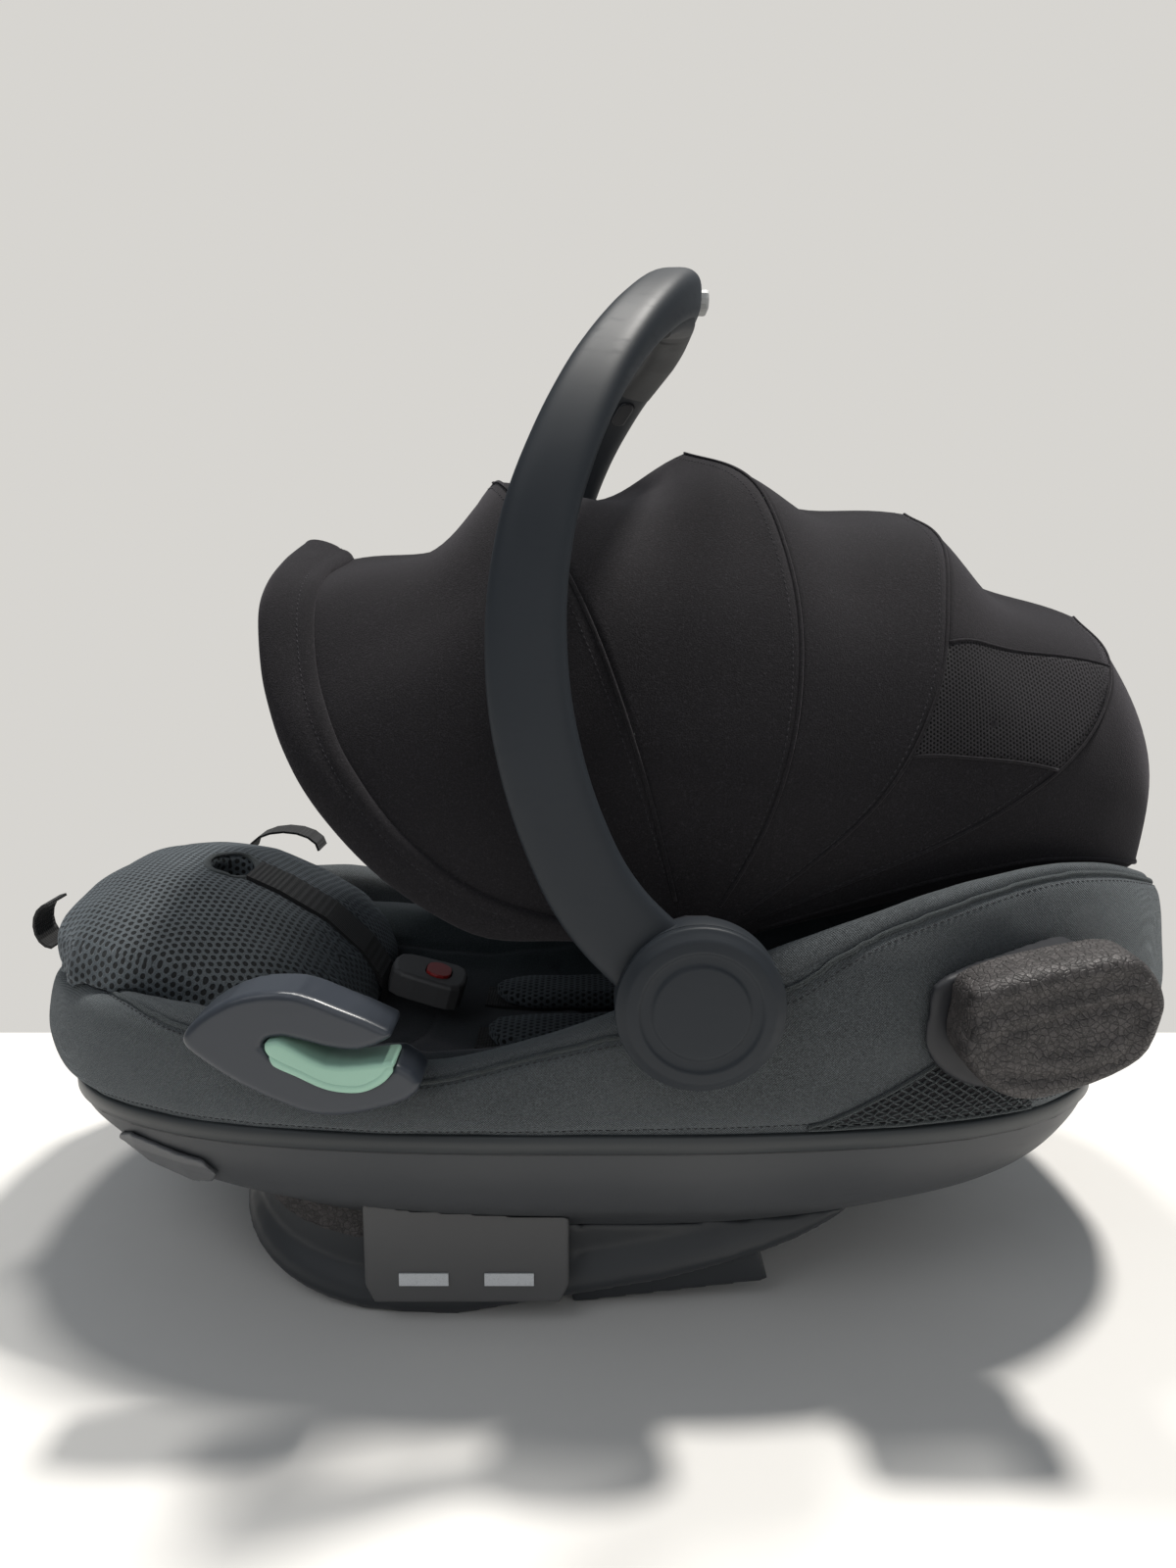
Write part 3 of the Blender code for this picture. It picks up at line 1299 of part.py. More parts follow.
def make_wall_panel(name, front_x, rear_x, side, base_form, proud, gap):
    """Panel that follows the curve of the base's wall."""
    panel = add_object(
        name, slab(side_panel_outline(front_x, rear_x), across(side), BASE_HALF_WIDTH / 2, BASE_HALF_WIDTH), "foam"
    )
    boolean(panel, swollen(base_form, proud), "INTERSECT")
    return boolean(panel, swollen(base_form, gap))


def make_base(shell_form, base_form):
    """Rocker base: a wall with a proud curved lip, whose lower edge follows the rocker's curve."""
    section = (
        (LIP_PROUD + LIP_CURVE * 0.2, None),
        (LIP_PROUD, LIP_HEIGHT + LIP_CURVE),
        (LIP_PROUD * 0.25, LIP_HEIGHT),
        (0.0, LIP_HEIGHT * 0.45),
        (LIP_PROUD * 0.4, 0.0),
        (LIP_PROUD + LIP_CURVE * 0.2 + BASE_WALL, 0.0),
        (LIP_PROUD + LIP_CURVE * 0.2 + BASE_WALL, None),
    )
    outlines = [base_outline(inset) for inset, _ in section]
    rows = []
    for i in range(BASE_STATIONS):
        row = []
        for (_, rise), outline in zip(section, outlines):
            x, y = outline[i]
            z = BASE_TOP if rise is None else rocker_z(outlines[0][i].x) + rise
            row.append(Vector((x, y, z)))
        rows.append(row)
    base = add_object("rocker_base", grid_surface(rows, wrap_rows=True), "dark_plastic")
    wall_y = BASE_HALF_WIDTH - LIP_PROUD
    inner_y = wall_y - LIP_CURVE * 0.2 - BASE_WALL
    for side_name, side in SIDES:
        foot = slab(
            (
                (FOOT_FRONT_X, 0.0), (FOOT_REAR_X, FOOT_RISE), (FOOT_REAR_X - FOOT_RAKE, FOOT_TOP_Z), (FOOT_FRONT_X, FOOT_TOP_Z),
            ),
            across(side), FOOT_INNER_Y, inner_y + BASE_WALL / 2,
        )
        boolean(base, as_cutter(add_object(f"foot_form_{side_name}", foot, "dark_plastic")), "UNION")
        plate = make_wall_panel(
            f"plate_form_{side_name}", PLATE_FRONT_X, PLATE_REAR_X, side, base_form, PANEL_PROUD, -BASE_WALL / 2
        )
        boolean(base, as_cutter(plate), "UNION")
    for name, x, z in (("front", FRONT_BAR_X, FRONT_BAR_Z), ("rear", REAR_BAR_X, REAR_BAR_Z)):
        bar = tube([Vector((x, BAR_REACH * s, z)) for s in (-1.0, 1.0)], BAR_RADIUS, 12)
        boolean(base, as_cutter(add_object(f"bar_form_{name}", bar, "dark_plastic")), "UNION")
    boolean(base, swollen(shell_form, GAP))
    for side_name, side in SIDES:
        for i in range(RIBS):
            x = RIB_X + i * RIB_PITCH
            z = rocker_z(x) + LIP_HEIGHT + LIP_CURVE
            rib = slab(
                rectangle(x, z, x + RIB_WIDTH, LOW_HEIGHT - LIP_HEIGHT / 3), across(side), wall_y - LIP_CURVE * 0.2 - RIB_DEPTH,
                wall_y + OVERRUN,
            )
            boolean(base, as_cutter(add_object(f"rib_slot_{side_name}_{i}", rib, "dark_plastic")))
    return base


def make_base_parts(base, shell_form, base_form):
    inner_y = BASE_HALF_WIDTH - LIP_PROUD - LIP_CURVE * 0.2 - BASE_WALL
    for side_name, side in SIDES:
        foam = make_wall_panel(
            f"foam_panel_{side_name}", FOAM_FRONT_X, FOAM_REAR_X, side, base_form, PANEL_PROUD, GAP
        )
        boolean(foam, swollen(base, GAP))
        boolean(foam, swollen(shell_form, GAP))

        block_outline = (
            (SIDE_BLOCK_FRONT_X, SIDE_BLOCK_TOP_Z), (SIDE_BLOCK_FRONT_X, SIDE_BLOCK_LOW_Z + SIDE_BLOCK_TAPER),
            (SIDE_BLOCK_FRONT_X + SIDE_BLOCK_TAPER / 2, SIDE_BLOCK_LOW_Z), (SIDE_BLOCK_REAR_X - SIDE_BLOCK_TAPER / 2, SIDE_BLOCK_LOW_Z),
            (SIDE_BLOCK_REAR_X, SIDE_BLOCK_LOW_Z + SIDE_BLOCK_TAPER), (SIDE_BLOCK_REAR_X, SIDE_BLOCK_TOP_Z),
        )
        block = add_object(
            f"base_block_{side_name}",
            slab(block_outline, across(side), inner_y - BASE_WALL, SIDE_BLOCK_Y, BLOCK_RECESS),
            "grey_plastic",
        )
        boolean(block, swollen(base_form, GAP))
        boolean(block, swollen(base, GAP))
        boolean(block, swollen(shell_form, GAP))
        for strip_name, x in (("front", STRIP_FRONT_X), ("rear", STRIP_REAR_X)):
            strip = slab(
                rectangle(x, STRIP_Z - STRIP_HEIGHT / 2, x + STRIP_LENGTH, STRIP_Z + STRIP_HEIGHT / 2), across(side),
                SIDE_BLOCK_Y + GAP, SIDE_BLOCK_Y + GAP + STRIP_THICKNESS,
            )
            add_object(f"reflector_{strip_name}_{side_name}", strip, "reflector")


def make_lever(shell_form):
    """Grey lever that hugs the lower shell, on the left foot end."""
    length, height = LEVER_REAR_X - LEVER_FRONT_X, LEVER_TOP_Z - LEVER_LOW_Z
    outline = [(LEVER_FRONT_X + length * a, LEVER_LOW_Z + height * b) for a, b in LEVER_SHARES]
    lever = add_object(
        "foot_lever", slab(outline, across(-1), LEVER_INNER_Y, HALF_WIDTH), "grey_plastic",
        origin=(LEVER_REAR_X, LEVER_PIVOT_Y, LEVER_PIVOT_Z),
    )
    boolean(lever, swollen(shell_form, LEVER_THICKNESS), "INTERSECT")
    boolean(lever, swollen(shell_form, 2 * GAP))


# Pads, harness and headrest


def make_insert_pad(cover_ring, seat_pad):
    rows = []
    for along_share, width_share, low_share, high_share in INSERT_PAD_SHARES:
        x = INSERT_SETBACK - HALF_LENGTH + INSERT_LENGTH * along_share
        half_width = INSERT_HALF_WIDTH * width_share
        low, high = INSERT_PAD_TOP * low_share, INSERT_PAD_TOP * high_share
        ring = []
        for j in range(16):
            a = 2 * math.pi * (j + 0.5) / 16
            y = half_width * rounded_power(math.cos(a), 0.75)
            lift = rounded_power(math.sin(a), 0.8)
            crown = 1.0 - 0.14 * (y / half_width) ** 2
            z = (low + high) / 2 + (high - low) / 2 * lift * (crown if lift > 0 else 1.0)
            ring.append(Vector((x, y, z)))
        rows.append(ring)
    pad = add_object("insert_pad", grid_surface(rows, fan_start=True, fan_end=True), "mesh_fabric", sharp=math.radians(80))
    boolean(pad, swollen(cover_ring, GAP))
    boolean(pad, swollen(seat_pad, GAP))
    hole = [(PAD_HOLE_X + PAD_HOLE_HALF_LENGTH * math.cos(a), PAD_HOLE_HALF_WIDTH * math.sin(a))
            for a in (2 * math.pi * i / 20 for i in range(20))]
    cutter = add_object(
        "pad_hole", slab(hole, flat_place, INSERT_PAD_TOP - PAD_HOLE_DEPTH, INSERT_PAD_TOP + OVERRUN), "mesh_fabric"
    )
    boolean(pad, as_cutter(cutter))
    low = INSERT_PAD_TOP - PAD_HOLE_DEPTH + GAP
    body_share = 0.92
    body = [(PAD_HOLE_X + body_share * (a - PAD_HOLE_X), body_share * b) for a, b in hole]
    housing = add_object("adjuster_housing", slab(body, flat_place, low, low + PAD_HOLE_DEPTH / 3, GAP), "dark_plastic")
    button_share = 0.6
    button = [(PAD_HOLE_X + button_share * (a - PAD_HOLE_X), button_share * b) for a, b in hole]
    pocket_share = 0.66
    pocket = [(PAD_HOLE_X + pocket_share * (a - PAD_HOLE_X), pocket_share * b) for a, b in hole]
    add_object(
        "adjuster_button",
        slab(button, flat_place, low + ADJUSTER_TRAVEL + 3 * GAP, low + PAD_HOLE_DEPTH / 3 + ADJUSTER_TRAVEL, GAP), "grey_plastic",
    )
    boolean(housing, as_cutter(add_object(
        "adjuster_pocket", slab(pocket, flat_place, low + 2 * GAP, low + OVERRUN), "dark_plastic"
    )))
    return pad


def flat_place(a, b, depth):
    return Vector((a, b, depth))


def strip_on_seat(name, outline, seat_space, low, high, material_name):
    """A strip with this plan that lies on the seat's face, between two heights over it."""
    strip = add_object(name, slab(outline, flat_place, BELLY_HEIGHT, RIM_HEIGHT), material_name)
    boolean(strip, raised(seat_space, low), "INTERSECT")
    boolean(strip, raised(seat_space, high))
    return strip


def make_harness(seat_space, insert_pad):
    for side_name, side in SIDES:
        y = side * STRAP_Y
        strap = rectangle(STRAP_FRONT_X, y - STRAP_WIDTH / 2, STRAP_REAR_X, y + STRAP_WIDTH / 2)
        strip_on_seat(f"shoulder_strap_{side_name}", strap, seat_space, GAP, GAP + STRAP_THICKNESS, "webbing")
        middle = (SHOULDER_PAD_FRONT_X + SHOULDER_PAD_REAR_X) / 2
        pad = stadium(SHOULDER_PAD_REAR_X - SHOULDER_PAD_FRONT_X, SHOULDER_PAD_WIDTH, (middle, y), 4)
        low = 2 * GAP + STRAP_THICKNESS
        strip_on_seat(f"shoulder_pad_{side_name}", pad, seat_space, low, low + SHOULDER_PAD_THICKNESS, "mesh_fabric")

    lean = Matrix.Rotation(BUCKLE_LEAN, 3, "Y")
    centre = Vector((BUCKLE_X, 0.0, BUCKLE_Z))
    length_way, depth_way = lean @ Vector((1.0, 0.0, 0.0)), lean @ Vector((0.0, 0.0, 1.0))
    place = in_frame(centre, length_way, Vector((0.0, 1.0, 0.0)), depth_way)
    outline = smooth_loop([
        (-BUCKLE_LENGTH / 2, -BUCKLE_WIDTH * 0.36), (0.0, -BUCKLE_WIDTH / 2), (BUCKLE_LENGTH / 2, -BUCKLE_WIDTH * 0.42),
        (BUCKLE_LENGTH / 2, BUCKLE_WIDTH * 0.42), (0.0, BUCKLE_WIDTH / 2), (-BUCKLE_LENGTH / 2, BUCKLE_WIDTH * 0.36),
    ], 3)
    half = BUCKLE_THICKNESS / 2
    buckle = add_object("buckle", slab(outline, place, -half, half, half / 3), "grey_plastic")
    button_place = in_frame(place(BUCKLE_LENGTH * 0.12, 0.0, 0.0), Vector((0.0, 1.0, 0.0)), length_way, depth_way)
    button = stadium(BUCKLE_BUTTON_WIDTH, BUCKLE_BUTTON_LENGTH)
    add_object(
        "buckle_button",
        slab(button, button_place, half - BUCKLE_BUTTON_DEPTH, half + BUCKLE_BUTTON_PROUD, BUCKLE_BUTTON_PROUD / 2),
        "red_plastic",
    )
    slot = stadium(BUCKLE_BUTTON_WIDTH + 2 * BUTTON_CLEARANCE, BUCKLE_BUTTON_LENGTH + 2 * BUTTON_CLEARANCE)
    boolean(buckle, as_cutter(add_object(
        "buckle_pocket",
        slab(slot, button_place, half - BUCKLE_BUTTON_DEPTH - BUCKLE_BUTTON_TRAVEL - GAP, half + OVERRUN / 3), "dark_plastic",
    )))

    strap_outline = rectangle(CROTCH_FRONT_X, -CROTCH_STRAP_WIDTH / 2, CROTCH_REAR_X, CROTCH_STRAP_WIDTH / 2)
    crotch = add_object("crotch_strap", slab(strap_outline, flat_place, CROTCH_LOW_Z, RIM_HEIGHT), "webbing")
    boolean(crotch, swollen(insert_pad, GAP + CROTCH_THICKNESS), "INTERSECT")
    boolean(crotch, swollen(insert_pad, GAP))
    boolean(crotch, swollen(buckle, GAP))


def rest_place(depth_sign=1.0):
    """Place along the backrest: first axis up the slope, second across, depth away from the backrest."""
    up = Vector((math.cos(REST_SLOPE), 0.0, math.sin(REST_SLOPE)))
    out = Vector((-math.sin(REST_SLOPE), 0.0, math.cos(REST_SLOPE)))
    return in_frame(Vector((RAIL_X, 0.0, RAIL_Z)), up, Vector((0.0, 1.0, 0.0)), out)


def make_headrest(seat_space):
    place = rest_place()
    rail = add_object(
        "headrest_rail",
        slab(rectangle(0.0, -RAIL_WIDTH / 2, RAIL_LENGTH, RAIL_WIDTH / 2), place, -RAIL_DEPTH, 0.0),
        "dark_plastic",
    )
    boolean(rail, raised(seat_space, GAP), "INTERSECT")
    low = GAP
    rows = []
    count = 18
    for i in range(count + 1):
        across_share = -1.0 + 2.0 * i / count
        y = across_share * HEADREST_WIDTH / 2
        wing = HEADREST_WING * abs(across_share) ** 5
        start = HEADREST_TRAVEL + 0.1 * HEADREST_LENGTH * abs(across_share) ** 3
        row = []
        for a, d in ((0.0, 0.15), (0.12, 0.9), (0.5, 1.0), (0.88, 0.9), (1.0, 0.15), (1.0, 0.0), (0.5, 0.0), (0.0, 0.0)):
            length = HEADREST_LENGTH * (1.0 - 0.2 * abs(across_share) ** 3)
            floor_rise = wing * 0.85
            depth = low + floor_rise + d * (HEADREST_THICKNESS * (1.0 - 0.25 * abs(across_share)))
            row.append(place(start + a * length, y, depth))
        rows.append(row)
    return add_object(
        "headrest", grid_surface(rows, fan_start=True, fan_end=True), "lining_fabric", sharp=math.radians(70)
    )


def make_belt_loops():
    """Elastic loops near the foot end that hold the belts clear."""
    for name, x, y, z in (
        ("front", LOOP_FRONT_X, LOOP_FRONT_Y, LOOP_FRONT_Z),
        ("side", LOOP_SIDE_X, LOOP_SIDE_Y, LOOP_SIDE_Z),
    ):
        outer = []
        for i in range(9):
            turn = math.pi * i / 8
            bulge = LOOP_LENGTH / 2
            if name == "front":
                at = Vector((x - bulge * 0.36 * math.sin(turn), y, z + bulge * 0.5 - bulge * 0.5 * math.cos(turn)))
            else:
                at = Vector((x - bulge * math.cos(turn), y, z + bulge * 0.55 * math.sin(turn)))
            outer.append(at)
        rows = []
        for i, at in enumerate(outer):
            ahead = outer[min(i + 1, 8)]
            behind = outer[max(i - 1, 0)]
            tangent = (ahead - behind).normalized()
            out = Vector((tangent.z, 0.0, -tangent.x))
            rows.append([
                at + a * LOOP_THICKNESS / 2 * out + Vector((0.0, b * LOOP_WIDTH / 2, 0.0))
                for a, b in ((-1, -1), (1, -1), (1, 1), (-1, 1))
            ])
        add_object(f"belt_loop_{name}", grid_surface(rows, fan_start=True, fan_end=True), "webbing")


def make_nets():
    """Open net low in the cover, towards the head end: a lattice that lies just off the cover's face."""
    for side_name, side in SIDES:
        bm = bmesh.new()
        rows = []
        for row in range(NET_ROWS + 1):
            line = []
            for column in range(NET_COLUMNS + 1):
                along_net = column / NET_COLUMNS
                top = NET_RISE_SHARE * min(along_net * NET_PEAK_SHARE, 1.0 - NET_FALL_SHARE * max(along_net - 1 / NET_PEAK_SHARE, 0.0))
                share = NET_LOW_SHARE + top * row / NET_ROWS
                x_share = (NET_FRONT_X + (NET_REAR_X - NET_FRONT_X) * along_net) / HALF_LENGTH
                angle = side * math.acos(x_share ** (OUTLINE_POWER / 2))
                tuck, height = edge_inset(angle), rim_z(angle) - edge_z(angle)
                inset = along(((0.0, 1.0), (0.16, 0.30), (0.42, 0.0)), share) * tuck
                line.append(bm.verts.new(on_plan(angle, inset - NET_STANDOFF, edge_z(angle) + share * height)))
            rows.append(line)
        for row in range(NET_ROWS):
            for column in range(NET_COLUMNS):
                corners = (rows[row][column], rows[row][column + 1], rows[row + 1][column + 1], rows[row + 1][column])
                if column:
                    bm.faces.new(corners)
                elif row == 0:
                    bm.faces.new((rows[0][0], rows[0][1], rows[1][1]))
                else:
                    bm.faces.new((rows[row][0], rows[row][1], rows[row + 1][1]))
        bmesh.ops.remove_doubles(bm, verts=bm.verts, dist=NET_STRAND / 10)
        net = add_object(f"side_net_{side_name}", bm, "cover_fabric")
        wire = net.modifiers.new("strands", "WIREFRAME")
        wire.thickness = NET_STRAND
        wire.use_boundary = True
        wire.use_even_offset = False


clear_scene()
seat_cover = make_seat_cover()
seat_tub = make_seat_tub()
lower_shell = make_lower_shell()
shell_form = make_shell_form()
seat_pad = make_seat_pad()
seat_space = make_seat_space()
cover_ring = make_cover_ring()
handle = make_handle()
for each_name, each_side in SIDES:
    make_hub_side(each_name, each_side, seat_cover, seat_tub)
make_handle_buttons(handle)
grip_cover = make_grip_cover(handle)
make_release_button(handle, grip_cover)
make_canopy()
make_belt_guides(cover_ring)
make_block_mounts(cover_ring)
make_side_block()
base_form = make_base_form()
base = make_base(shell_form, base_form)
make_base_parts(base, shell_form, base_form)
make_lever(shell_form)
insert_pad = make_insert_pad(cover_ring, seat_pad)
make_harness(seat_space, insert_pad)
make_headrest(seat_space)
make_belt_loops()
make_nets()
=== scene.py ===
"""Looks of the infant car seat: fabrics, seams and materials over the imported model."""

import json
import math

import bmesh
import bpy
import numpy as np
from mathutils import Matrix, Vector, noise
from mathutils.bvhtree import BVHTree

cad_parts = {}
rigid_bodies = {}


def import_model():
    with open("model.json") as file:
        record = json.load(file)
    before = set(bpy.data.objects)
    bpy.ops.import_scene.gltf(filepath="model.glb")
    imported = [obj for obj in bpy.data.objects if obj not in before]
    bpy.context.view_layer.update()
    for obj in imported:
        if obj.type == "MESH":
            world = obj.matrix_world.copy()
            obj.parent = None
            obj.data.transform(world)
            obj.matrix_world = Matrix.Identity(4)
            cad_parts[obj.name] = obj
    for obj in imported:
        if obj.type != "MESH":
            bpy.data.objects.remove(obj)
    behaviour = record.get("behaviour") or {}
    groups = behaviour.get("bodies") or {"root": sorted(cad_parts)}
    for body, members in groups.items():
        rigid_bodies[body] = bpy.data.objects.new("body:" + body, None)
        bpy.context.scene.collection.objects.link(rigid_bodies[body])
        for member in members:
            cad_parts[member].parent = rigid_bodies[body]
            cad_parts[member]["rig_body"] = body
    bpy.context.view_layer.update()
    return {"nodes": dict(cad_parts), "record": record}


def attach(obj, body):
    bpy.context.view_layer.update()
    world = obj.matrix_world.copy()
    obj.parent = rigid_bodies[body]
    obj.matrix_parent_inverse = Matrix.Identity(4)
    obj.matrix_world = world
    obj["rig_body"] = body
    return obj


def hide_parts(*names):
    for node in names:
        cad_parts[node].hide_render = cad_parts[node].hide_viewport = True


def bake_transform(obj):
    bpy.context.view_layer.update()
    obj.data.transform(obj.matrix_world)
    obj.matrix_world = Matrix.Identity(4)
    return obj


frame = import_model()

NODES = frame["nodes"]

# The part's own measures, repeated from its source
HALF_LENGTH = 0.336
HALF_WIDTH = 0.190
OUTLINE_POWER = 2.6
GAP = 0.0003
RIM_HEIGHT = 0.250
RIM_SHARES = (
    (-1.0, 0.68), (-0.85, 0.705), (-0.6, 0.70), (-0.3, 0.62), (-0.1, 0.68), (0.12, 0.79),
    (0.25, 0.86), (0.45, 0.95), (0.65, 1.0), (0.8, 0.985), (0.92, 0.93), (1.0, 0.86),
)
EDGE_HEIGHT = 0.122
EDGE_SHARES = ((-1.0, 0.91), (-0.7, 0.96), (-0.3, 1.0), (0.3, 1.0), (0.75, 0.94), (1.0, 0.90))
LOW_HEIGHT = 0.065
LOW_SHARES = (
    (-1.0, 1.24), (-0.92, 1.26), (-0.85, 1.25), (-0.74, 1.12), (-0.62, 1.06), (-0.4, 1.0), (0.0, 0.98), (0.5, 1.0),
    (0.62, 1.02), (0.75, 1.07), (0.85, 1.16), (0.93, 1.21), (1.0, 1.22),
)
BELLY_HEIGHT = 0.036

RIM_WIDTH = 0.026
EDGE_TUCK = 0.006
END_TUCK = 0.010
HEAD_TUCK = 0.034
TOP_TUCK = 0.010
SKIRT_RISE = 0.006
SKIRT_BEND_SHARE = 0.24

FLANGE_HEIGHT = 0.010

HUB_X = 0.042
HUB_Z = 0.201
HUB_RADIUS = 0.039
HUB_PROUD = 0.032
HUB_FACE_Y = HALF_WIDTH + HUB_PROUD
CAP_THICKNESS = 0.0092
HANDLE_DISC_THICKNESS = 0.0145
SOCKET_RADIUS = 0.036
BOLT_RADIUS = 0.005
BOLT_HEAD_RADIUS = 0.010
BOLT_HEAD_THICKNESS = 0.003
BOLT_PLAY = 0.0004
CAP_GROOVE_RADIUS = 0.0272
CAP_BOSS_RADIUS = 0.0215
CAP_STEP = 0.0015
LOCK_POCKET_RADIUS = 0.0285
LOCK_POCKET_DEPTH = 0.0055

CANOPY_OVERHANG = 0.006
CANOPY_RADIUS = HALF_LENGTH - HUB_X + CANOPY_OVERHANG
HANDLE_HEADROOM = 0.066
HANDLE_TOP = HUB_Z + CANOPY_RADIUS + HANDLE_HEADROOM
HANDLE_ARM_INSET = 0.017
HANDLE_HALF_WIDTH = HUB_FACE_Y - HANDLE_ARM_INSET
ARM_WIDTH = 0.038
GRIP_THICKNESS = 0.028
HANDLE_SHARES = (
    # along, x share of the reach, y share of the half width, z share of the rise, width share, thickness share
    (0.00, 0.000, 1.000, 0.000, 1.10, 0.45),
    (0.10, -0.115, 1.000, 0.112, 1.06, 0.46),
    (0.22, -0.176, 1.000, 0.225, 1.02, 0.52),
    (0.35, -0.214, 0.998, 0.365, 0.99, 0.60),
    (0.46, -0.222, 0.982, 0.495, 0.94, 0.62),
    (0.56, -0.208, 0.948, 0.610, 0.88, 0.62),
    (0.66, -0.176, 0.880, 0.712, 0.81, 0.64),
    (0.75, -0.134, 0.770, 0.806, 0.76, 0.70),
    (0.83, -0.086, 0.620, 0.884, 0.74, 0.80),
    (0.90, -0.040, 0.430, 0.944, 0.75, 0.92),
    (0.96, -0.009, 0.205, 0.984, 0.76, 1.00),
    (1.00, 0.000, 0.000, 1.000, 0.76, 1.00),
)
GRIP_COVER_FROM_SHARE = 0.875
GRIP_COVER_THICKNESS = 0.006
GRIP_COVER_WIDTH_SHARE = 0.78
HANDLE_BUTTON_AT_SHARE = 0.845
HANDLE_BUTTON_LENGTH = 0.024
HANDLE_BUTTON_WIDTH = 0.010
HANDLE_BUTTON_DEPTH = 0.006
HANDLE_BUTTON_TRAVEL = 0.003
BUTTON_CLEARANCE = 0.0005
RELEASE_LENGTH = 0.024
RELEASE_WIDTH = 0.012
RELEASE_DEPTH = 0.009
RELEASE_TRAVEL = 0.003
CANOPY_INSET = 0.022
CANOPY_HALF_WIDTH = HALF_WIDTH - CANOPY_INSET
CANOPY_SKIN = 0.0012
RIM_BAND_WIDTH = 0.030
RIM_BAND_THICKNESS = 0.011
BOW_SHARES = {
    # along, share of the half width, turn about the hubs in degrees, share of the radius
    "hem": (
        (0.0, 0.000, 5.4, 0.955), (0.3, 0.415, 7.0, 0.885), (0.5, 0.620, 10.5, 0.775),
        (0.65, 0.725, 14.0, 0.633), (0.8, 0.805, 17.0, 0.433), (0.9, 0.845, 19.5, 0.25),
        (1.0, 0.855, 24.0, 0.052),
    ),
    "bow_5": (
        (0.0, 0.000, 34.4, 1.000), (0.3, 0.387, 31.5, 0.943), (0.5, 0.613, 28.0, 0.833),
        (0.65, 0.750, 25.5, 0.683), (0.8, 0.845, 25.0, 0.467), (0.9, 0.875, 27.5, 0.267),
        (1.0, 0.869, 34.0, 0.052),
    ),
    "bow_4": (
        (0.0, 0.000, 58.7, 0.902), (0.3, 0.405, 56.0, 0.853), (0.5, 0.655, 52.5, 0.740),
        (0.65, 0.815, 47.0, 0.600), (0.8, 0.910, 42.0, 0.417), (0.9, 0.923, 41.5, 0.233),
        (1.0, 0.888, 46.0, 0.052),
    ),
    "bow_3": (
        (0.0, 0.000, 88.5, 0.890), (0.3, 0.417, 81.0, 0.825), (0.5, 0.685, 75.5, 0.690),
        (0.65, 0.857, 70.5, 0.540), (0.8, 0.970, 65.5, 0.350), (0.9, 0.976, 64.0, 0.207),
        (1.0, 0.904, 66.0, 0.052),
    ),
    "bow_2": (
        (0.0, 0.000, 113.4, 0.907), (0.3, 0.429, 111.5, 0.863), (0.5, 0.690, 108.5, 0.740),
        (0.65, 0.863, 106.0, 0.583), (0.8, 0.982, 104.0, 0.373), (0.9, 0.988, 103.0, 0.217),
        (1.0, 0.920, 102.0, 0.052),
    ),
    "rim": (
        (0.0, 0.000, 133.5, 0.940), (0.3, 0.446, 137.0, 0.905), (0.5, 0.702, 143.5, 0.785),
        (0.65, 0.869, 149.0, 0.660), (0.8, 0.988, 155.5, 0.470), (0.9, 1.000, 158.0, 0.290),
        (1.0, 0.935, 150.0, 0.052),
    ),
}
PANELS = {
    # front line, back line, sag share, body at the back line, body at the front line
    "canopy_panel_1": ("rim", "bow_2", 0.085, "canopy_bow_2", "canopy_rim"),
    "canopy_panel_2": ("bow_2", "bow_3", 0.095, "canopy_bow_3", "canopy_bow_2"),
    "canopy_panel_3": ("bow_3", "bow_4", 0.085, "canopy_bow_4", "canopy_bow_3"),
    "canopy_panel_4": ("bow_4", "bow_5", 0.075, "canopy_bow_5", "canopy_bow_4"),
    "canopy_panel_5": ("bow_5", "hem", -0.035, "seat", "canopy_bow_5"),
}

GUIDE_SETBACK = 0.140
GUIDE_X = GUIDE_SETBACK - HALF_LENGTH
GUIDE_Z = 0.1455
GUIDE_LENGTH = 0.1095
GUIDE_HEIGHT = 0.061
GUIDE_PROUD = 0.020
GUIDE_OUTER_Y = HALF_WIDTH + GUIDE_PROUD

BLOCK_SETBACK = 0.1735
BLOCK_X = HALF_LENGTH - BLOCK_SETBACK
NET_TO_BLOCK = 0.0645
NET_FRONT_X = BLOCK_X - NET_TO_BLOCK
NET_LENGTH = 0.132
NET_REAR_X = NET_FRONT_X + NET_LENGTH
NET_LOW_SHARE = 0.03
NET_RISE_SHARE = 0.36
NET_PEAK_SHARE = 1.6
NET_FALL_SHARE = 0.5


def along(table, t, column=1):
    """Value at t of a smooth curve through the table's rows, whose first column is t."""
    rows = sorted(table, key=lambda row: row[0])
    if t <= rows[0][0]:
        return rows[0][column]
    if t >= rows[-1][0]:
        return rows[-1][column]
    index = next(i for i in range(len(rows) - 1) if rows[i + 1][0] >= t)
    low, high = rows[index], rows[index + 1]
    before = rows[max(index - 1, 0)]
    after = rows[min(index + 2, len(rows) - 1)]
    span = high[0] - low[0]
    slope_low = (high[column] - before[column]) / (high[0] - before[0])
    slope_high = (after[column] - low[column]) / (after[0] - low[0])
    s = (t - low[0]) / span
    return (
        (2 * s**3 - 3 * s**2 + 1) * low[column]
        + (s**3 - 2 * s**2 + s) * span * slope_low
        + (3 * s**2 - 2 * s**3) * high[column]
        + (s**3 - s**2) * span * slope_high
    )


def rounded_power(value, power):
    """The power of a value that keeps its sign."""
    return math.copysign(abs(value) ** power, value)


